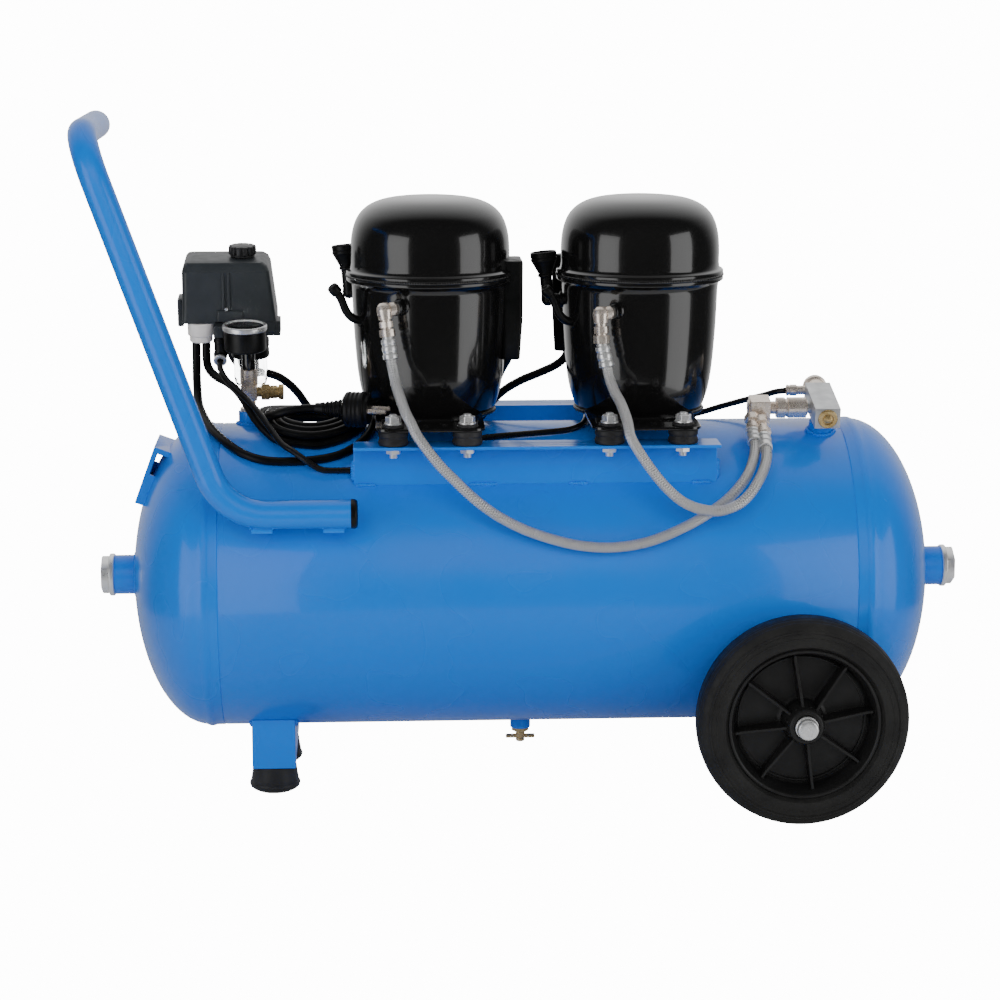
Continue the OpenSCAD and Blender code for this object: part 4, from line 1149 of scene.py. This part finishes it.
def make_gauge():
    place = RISER @ move(-3, 0, 62)
    case = Piece(place)
    case.turned([(0, 0), (19.6, 0), (20.8, 1.2), (20.8, 21), (19, 21), (19, 16.2), (0, 16.2)], 0.7,
                sides=112)
    case.done("gauge_housing", "black_plastic", stands_for=["gauge_case"])
    ring = Piece(place)
    ring.lathe(soft([(19.3, 20), (21.2, 20.2), (22, 21), (22, 24.8), (21.4, 25.7), (20.4, 26),
                     (19.3, 25.6)], 0.5) + [(19.3, 23)], sides=112, closed=True)
    ring.done("gauge_bezel", "zinc_steel", slot="zinc_steel")
    dial = Piece(place).rod(18.9, 16.0, 16.5, round_by=0.1, sides=96)
    dial.done("gauge_dial", "dial_white", slot="gland_grey")
    ink = Piece(place)
    for i in range(41):
        turn = spin(-135 + 270 * i / 40, "Z")
        long, half = (4.6, 0.34) if i % 5 == 0 else (2.6, 0.16)
        ink.block((17.2 - long, -half, 16.4), (17.2, half, 16.6), turn, 0)
    ink.rod(2.6, 16.4, 16.58, round_by=0.05)
    ink.done("gauge_marks", "dial_ink", slot="black_plastic")
    needle = Piece(place)
    needle.rod(2.2, 16.7, 19.6, round_by=0.5)
    needle.prism([(-1.2, -5), (1.2, -5), (0.5, 15.4), (-0.5, 15.4)], 17.8, 18.6, round_by=0.15)
    needle.done("gauge_pointer", "needle_red", "needle", ["gauge_needle"])
    lens = Piece(place)
    lens.turned([(0, 23), (19.2, 23), (19.3, 24), (17, 25.1), (9, 25.35), (0, 25.4)], 0.3, sides=96)
    lens.done("gauge_window", "lens", stands_for=["gauge_lens"])


COVER_SECTIONS = [(85, -66, 27, 24, 90, 5.0), (98, -65.2, 25.4, 24.4, 89.6, 5.0),
                  (134.5, -65, 21, 24, 90, 6.0), (140, -63.4, 18.6, 26.6, 87.6, 6.0),
                  (142.7, -61, 15.0, 29, 85, 5.5), (143.5, -57, 11, 33, 81, 4)]


def make_switch():
    cover = Piece(RISER).loft(COVER_SECTIONS, corner=8)
    cover.done("switch_lid", "switch_grey", stands_for=["switch_cover"], sharp=24)
    ribs = Piece(RISER)
    for x in (-24.5, -19.0):
        ribs.loft([(97, x - 1.5, x + 1.5, 21.9, 27, 0.9), (99, x - 1.6, x + 1.6, 21.6, 27, 1.0),
                   (130, x - 1.4, x + 1.4, 21.9, 27, 0.9), (134, x - 1.1, x + 1.1, 23.4, 27, 0.6)])
    ribs.loft([(85.0, -31, -5, 22.4, 30, 1.6), (95.4, -31, -5, 22.4, 30, 1.6),
               (96.2, -30.4, -5.6, 23.2, 30, 1.4)])
    ribs.done("switch_lid_ribs", "switch_grey")
    base = Piece(RISER)
    base.block((-66, 26, 82), (27, 88, 85.2), round_by=1.0)
    base.block((-33, 26, 72), (27, 88, 84), round_by=1.6, segments=3)
    base.block((8, 28, 69), (31, 52, 84), round_by=1.2)
    base.block((-34, 8, 72), (-24.5, 27, 84), round_by=1.0)
    base.block((-71, 40, 76), (-65, 66, 104), round_by=1.4)
    for z in (81, 86, 91, 96):
        base.block((-71, 43, z), (-70, 63, z + 1.6), round_by=0.3)
    base.done("switch_housing", "switch_grey", stands_for=["switch_base"])
    screw = Piece(RISER)
    screw.rod(1.5, 0, 2.4, move(-21.7, 24.2, 97.6) @ TO_FRONT, 0.3, 24)
    screw.rod(3.0, 0, 1.4, move(29.6, 40, 76) @ TO_X, 0.4, 32)
    screw.done("switch_screws", "zinc_steel")
    knob = Piece(RISER @ move(-6, 55, 144))
    rings = []
    for z, r, depth in ((2.4, 13.0, 1.3), (3.2, 13.9, 1.6), (9.8, 13.7, 1.6), (10.7, 13.1, 1.4),
                        (11, 12.2, 1.0)):
        ring = []
        for i in range(144):
            a = 2 * math.pi * i / 144
            dip = max(0.0, math.cos(12 * a)) ** 2
            ring.append(polar(r - depth * dip, a, z))
        rings.append(ring)
    knob.rings(rings)
    knob.rod(12, 0.1, 3, round_by=0.4)
    knob.rod(9.4, 10.6, 10.98, round_by=0.15)
    knob.done("pressure_knob", "knob_black", "knob", ["switch_knob"], sharp=40)


def make_glands():
    glands = Piece(RISER)
    glands.turned([(0, 0.4), (9.6, 0), (10.9, 0.6), (11.4, 1.6), (11.4, 6.2), (12.2, 6.8), (13.0, 7.2),
                   (13.2, 8.4), (13.2, 19), (12.6, 20), (0, 20)], 0.5, move(-48, 36, 62), 88)
    glands.turned([(0, 0), (6.8, 0), (8, 1.4), (9, 2), (9, 9.4), (8.2, 10), (6, 10.2), (6, 16),
                   (0, 16)], 0.5, move(-22, 72, 64), 64)
    glands.done("cable_gland_nuts", "gland_grey", stands_for=["cable_glands"])


def make_filter():
    place = RISER @ move(0, 46, 0)
    head = Piece(place)
    line = [(0, 47.6), (16.6, 47.6), (16.6, 44), (18.2, 44), (19, 45), (19, 52), (18.2, 52.8),
            (18.2, 54.2), (19, 55), (19, 62.6), (17.6, 64), (0, 64)]
    head.turned(line, 0.6, sides=96)
    head.rod(6.5, 62, 72, move(0, 10, 0), 0.3)
    head.done("filter_housing", "black_plastic", stands_for=["filter_head"])
    outside = soft([(0, 12), (8, 12), (12.5, 13.6), (15.3, 16.6), (16.5, 21.5), (16.5, 48)], 1.5)
    inside = soft([(14.4, 48), (14.4, 23), (13, 18.6), (9.4, 15.6), (0, 15)], 1.2)
    bowl = Piece(place).lathe(outside + inside, sides=96)
    bowl.done("filter_glass", "lens", stands_for=["filter_bowl"])
    core = Piece(place)
    core.rod(3, 20, 48, round_by=0.4)
    for i in range(6):
        core.rod(8.4, 27 + 2.6 * i, 28.6 + 2.6 * i, round_by=0.3)
    core.rod(10.5, 24.6, 25.8, round_by=0.3)
    core.done("filter_element", "gland_grey")


def make_outlet():
    outlet = Piece(RISER @ move(0, 0, 19) @ TO_X)
    outlet.rod(5, 7.6, 12.5, round_by=0.2)
    outlet.nut(14, 12, 20)
    outlet.turned([(3.6, 18), (6.5, 18), (6.5, 27), (5.7, 27.8), (5.7, 28.6), (7.6, 29.4),
                   (7.6, 33.2), (7, 34), (3.9, 34), (3.6, 33.4)], 0.3, sides=56, closed=True)
    outlet.done("outlet_nipple", "brass", stands_for=["outlet_coupling"])


def make_hidden():
    """Parts inside the motors and the manifold keep their shape and get a finish."""
    finish_cad("stator_winding", "stators", edge=0.6)
    finish_cad("rotor_steel", "rotor_left", "rotor_right", edge=0.4)
    finish_cad("cast_iron", "pump_blocks", edge=0.8)
    finish_cad("alloy", "pistons", edge=0.4)
    finish_cad("zinc_steel", "suspension_springs", edge=0)
    finish_cad("brass", "check_valve_poppet", edge=0.3)


# ---------- light ----------

SEEN_WHITE = 14.0


def seen_and_lit(tree, seen, lit, output):
    """Joins two shaders: the first is seen straight or through glass, the second lights the scene."""
    path = add_node(tree, "LightPath").outputs
    first = add_node(tree, "Math", {0: path["Diffuse Depth"], 1: 0.5}, operation="LESS_THAN")
    through = add_node(tree, "Math", {0: path["Is Transmission Ray"], 1: first.outputs["Value"]},
                       operation="MULTIPLY")
    either = add_node(tree, "Math", {0: path["Is Camera Ray"], 1: through.outputs["Value"]},
                      operation="MAXIMUM")
    mix = add_node(tree, "MixShader", {"Fac": either.outputs["Value"], 1: lit, 2: seen})
    tree.links.new(mix.outputs["Shader"], tree.nodes[output].inputs["Surface"])


def make_floor():
    """A pale table under the object, and the same pale floor out to the horizon."""
    white = bpy.data.materials.new("studio_white")
    white.use_nodes = True
    tree = white.node_tree
    paper = tree.nodes["Principled BSDF"]
    paper.inputs["Base Color"].default_value = (*grey(0.75), 1)
    paper.inputs["Roughness"].default_value = 0.9
    glow = add_node(tree, "Emission", {"Strength": SEEN_WHITE})
    seen_and_lit(tree, glow.outputs["Emission"], paper.outputs["BSDF"], "Material Output")
    for name, radius, z in (("studio_table", 0.95, 0.0), ("studio_floor", 60.0, -0.002)):
        bm = bmesh.new()
        bmesh.ops.create_circle(bm, cap_ends=True, radius=radius, segments=96)
        mesh = bpy.data.meshes.new(name)
        bm.to_mesh(mesh)
        bm.free()
        mesh.materials.append(white)
        floor = add_object(name, mesh)
        floor.location.z = z
        floor.visible_glossy = z == 0


def make_lamp(name, azimuth, height, distance, size, radiance, glossy=True):
    """A softbox at an azimuth from the front, positive to the right."""
    turn = math.radians(azimuth)
    at = Vector((distance * math.sin(turn), -distance * math.cos(turn), height))
    data = bpy.data.lights.new(name, "AREA")
    data.shape = "RECTANGLE"
    data.size, data.size_y = size
    data.energy = radiance * math.pi * size[0] * size[1]
    lamp = add_object(name, data)
    lamp.location = at
    lamp.visible_glossy = glossy
    aim = Vector((0, 0, min(height, 0.4)))
    lamp.rotation_euler = (aim - at).to_track_quat("-Z", "Y").to_euler()


def make_light():
    """White is seen behind the object. What lights it is bright only above and behind."""
    world = bpy.data.worlds.new("studio")
    world.use_nodes = True
    tree = world.node_tree
    seen = tree.nodes["Background"]
    seen.inputs["Strength"].default_value = SEEN_WHITE
    seen.inputs["Color"].default_value = (*grey(1), 1)
    where = add_node(tree, "TexCoord").outputs["Generated"]
    behind = add_node(tree, "VectorMath", {0: where, 1: (0, 0.80, 0.60)}, operation="DOT_PRODUCT")
    levels = {"Value": behind.outputs["Value"], "From Min": 0.2, "From Max": 0.95,
              "To Min": 0.04, "To Max": 1.1}
    sky = add_node(tree, "MapRange", levels, interpolation_type="SMOOTHSTEP")
    lit = add_node(tree, "Background", {"Color": (*grey(1), 1), "Strength": sky.outputs["Result"]})
    seen_and_lit(tree, seen.outputs["Background"], lit.outputs["Background"], "World Output")
    bpy.context.scene.world = world
    make_lamp("left_softbox", -50, 0.1, 2.6, (1.5, 2.6), 1.9)
    make_lamp("right_softbox", 58, 0.1, 2.6, (1.6, 2.6), 1.9)
    make_lamp("front_fill", 0, 1.7, 3.0, (3.2, 2.0), 3.2, glossy=False)


# ---------- build ----------

looks = make_looks()
for build in (make_camera, make_tank, make_end_plugs, make_rails, make_handle, make_plate_bracket,
              make_feet, make_wheels, make_drain, make_motors, make_bases, make_mounts, make_covers,
              make_intakes, make_stubs, make_elbows, make_hose_ends, make_manifold,
              make_air_fittings, make_riser, make_gauge, make_switch, make_glands, make_filter,
              make_outlet, make_hidden, make_cords, make_floor, make_light):
    build()
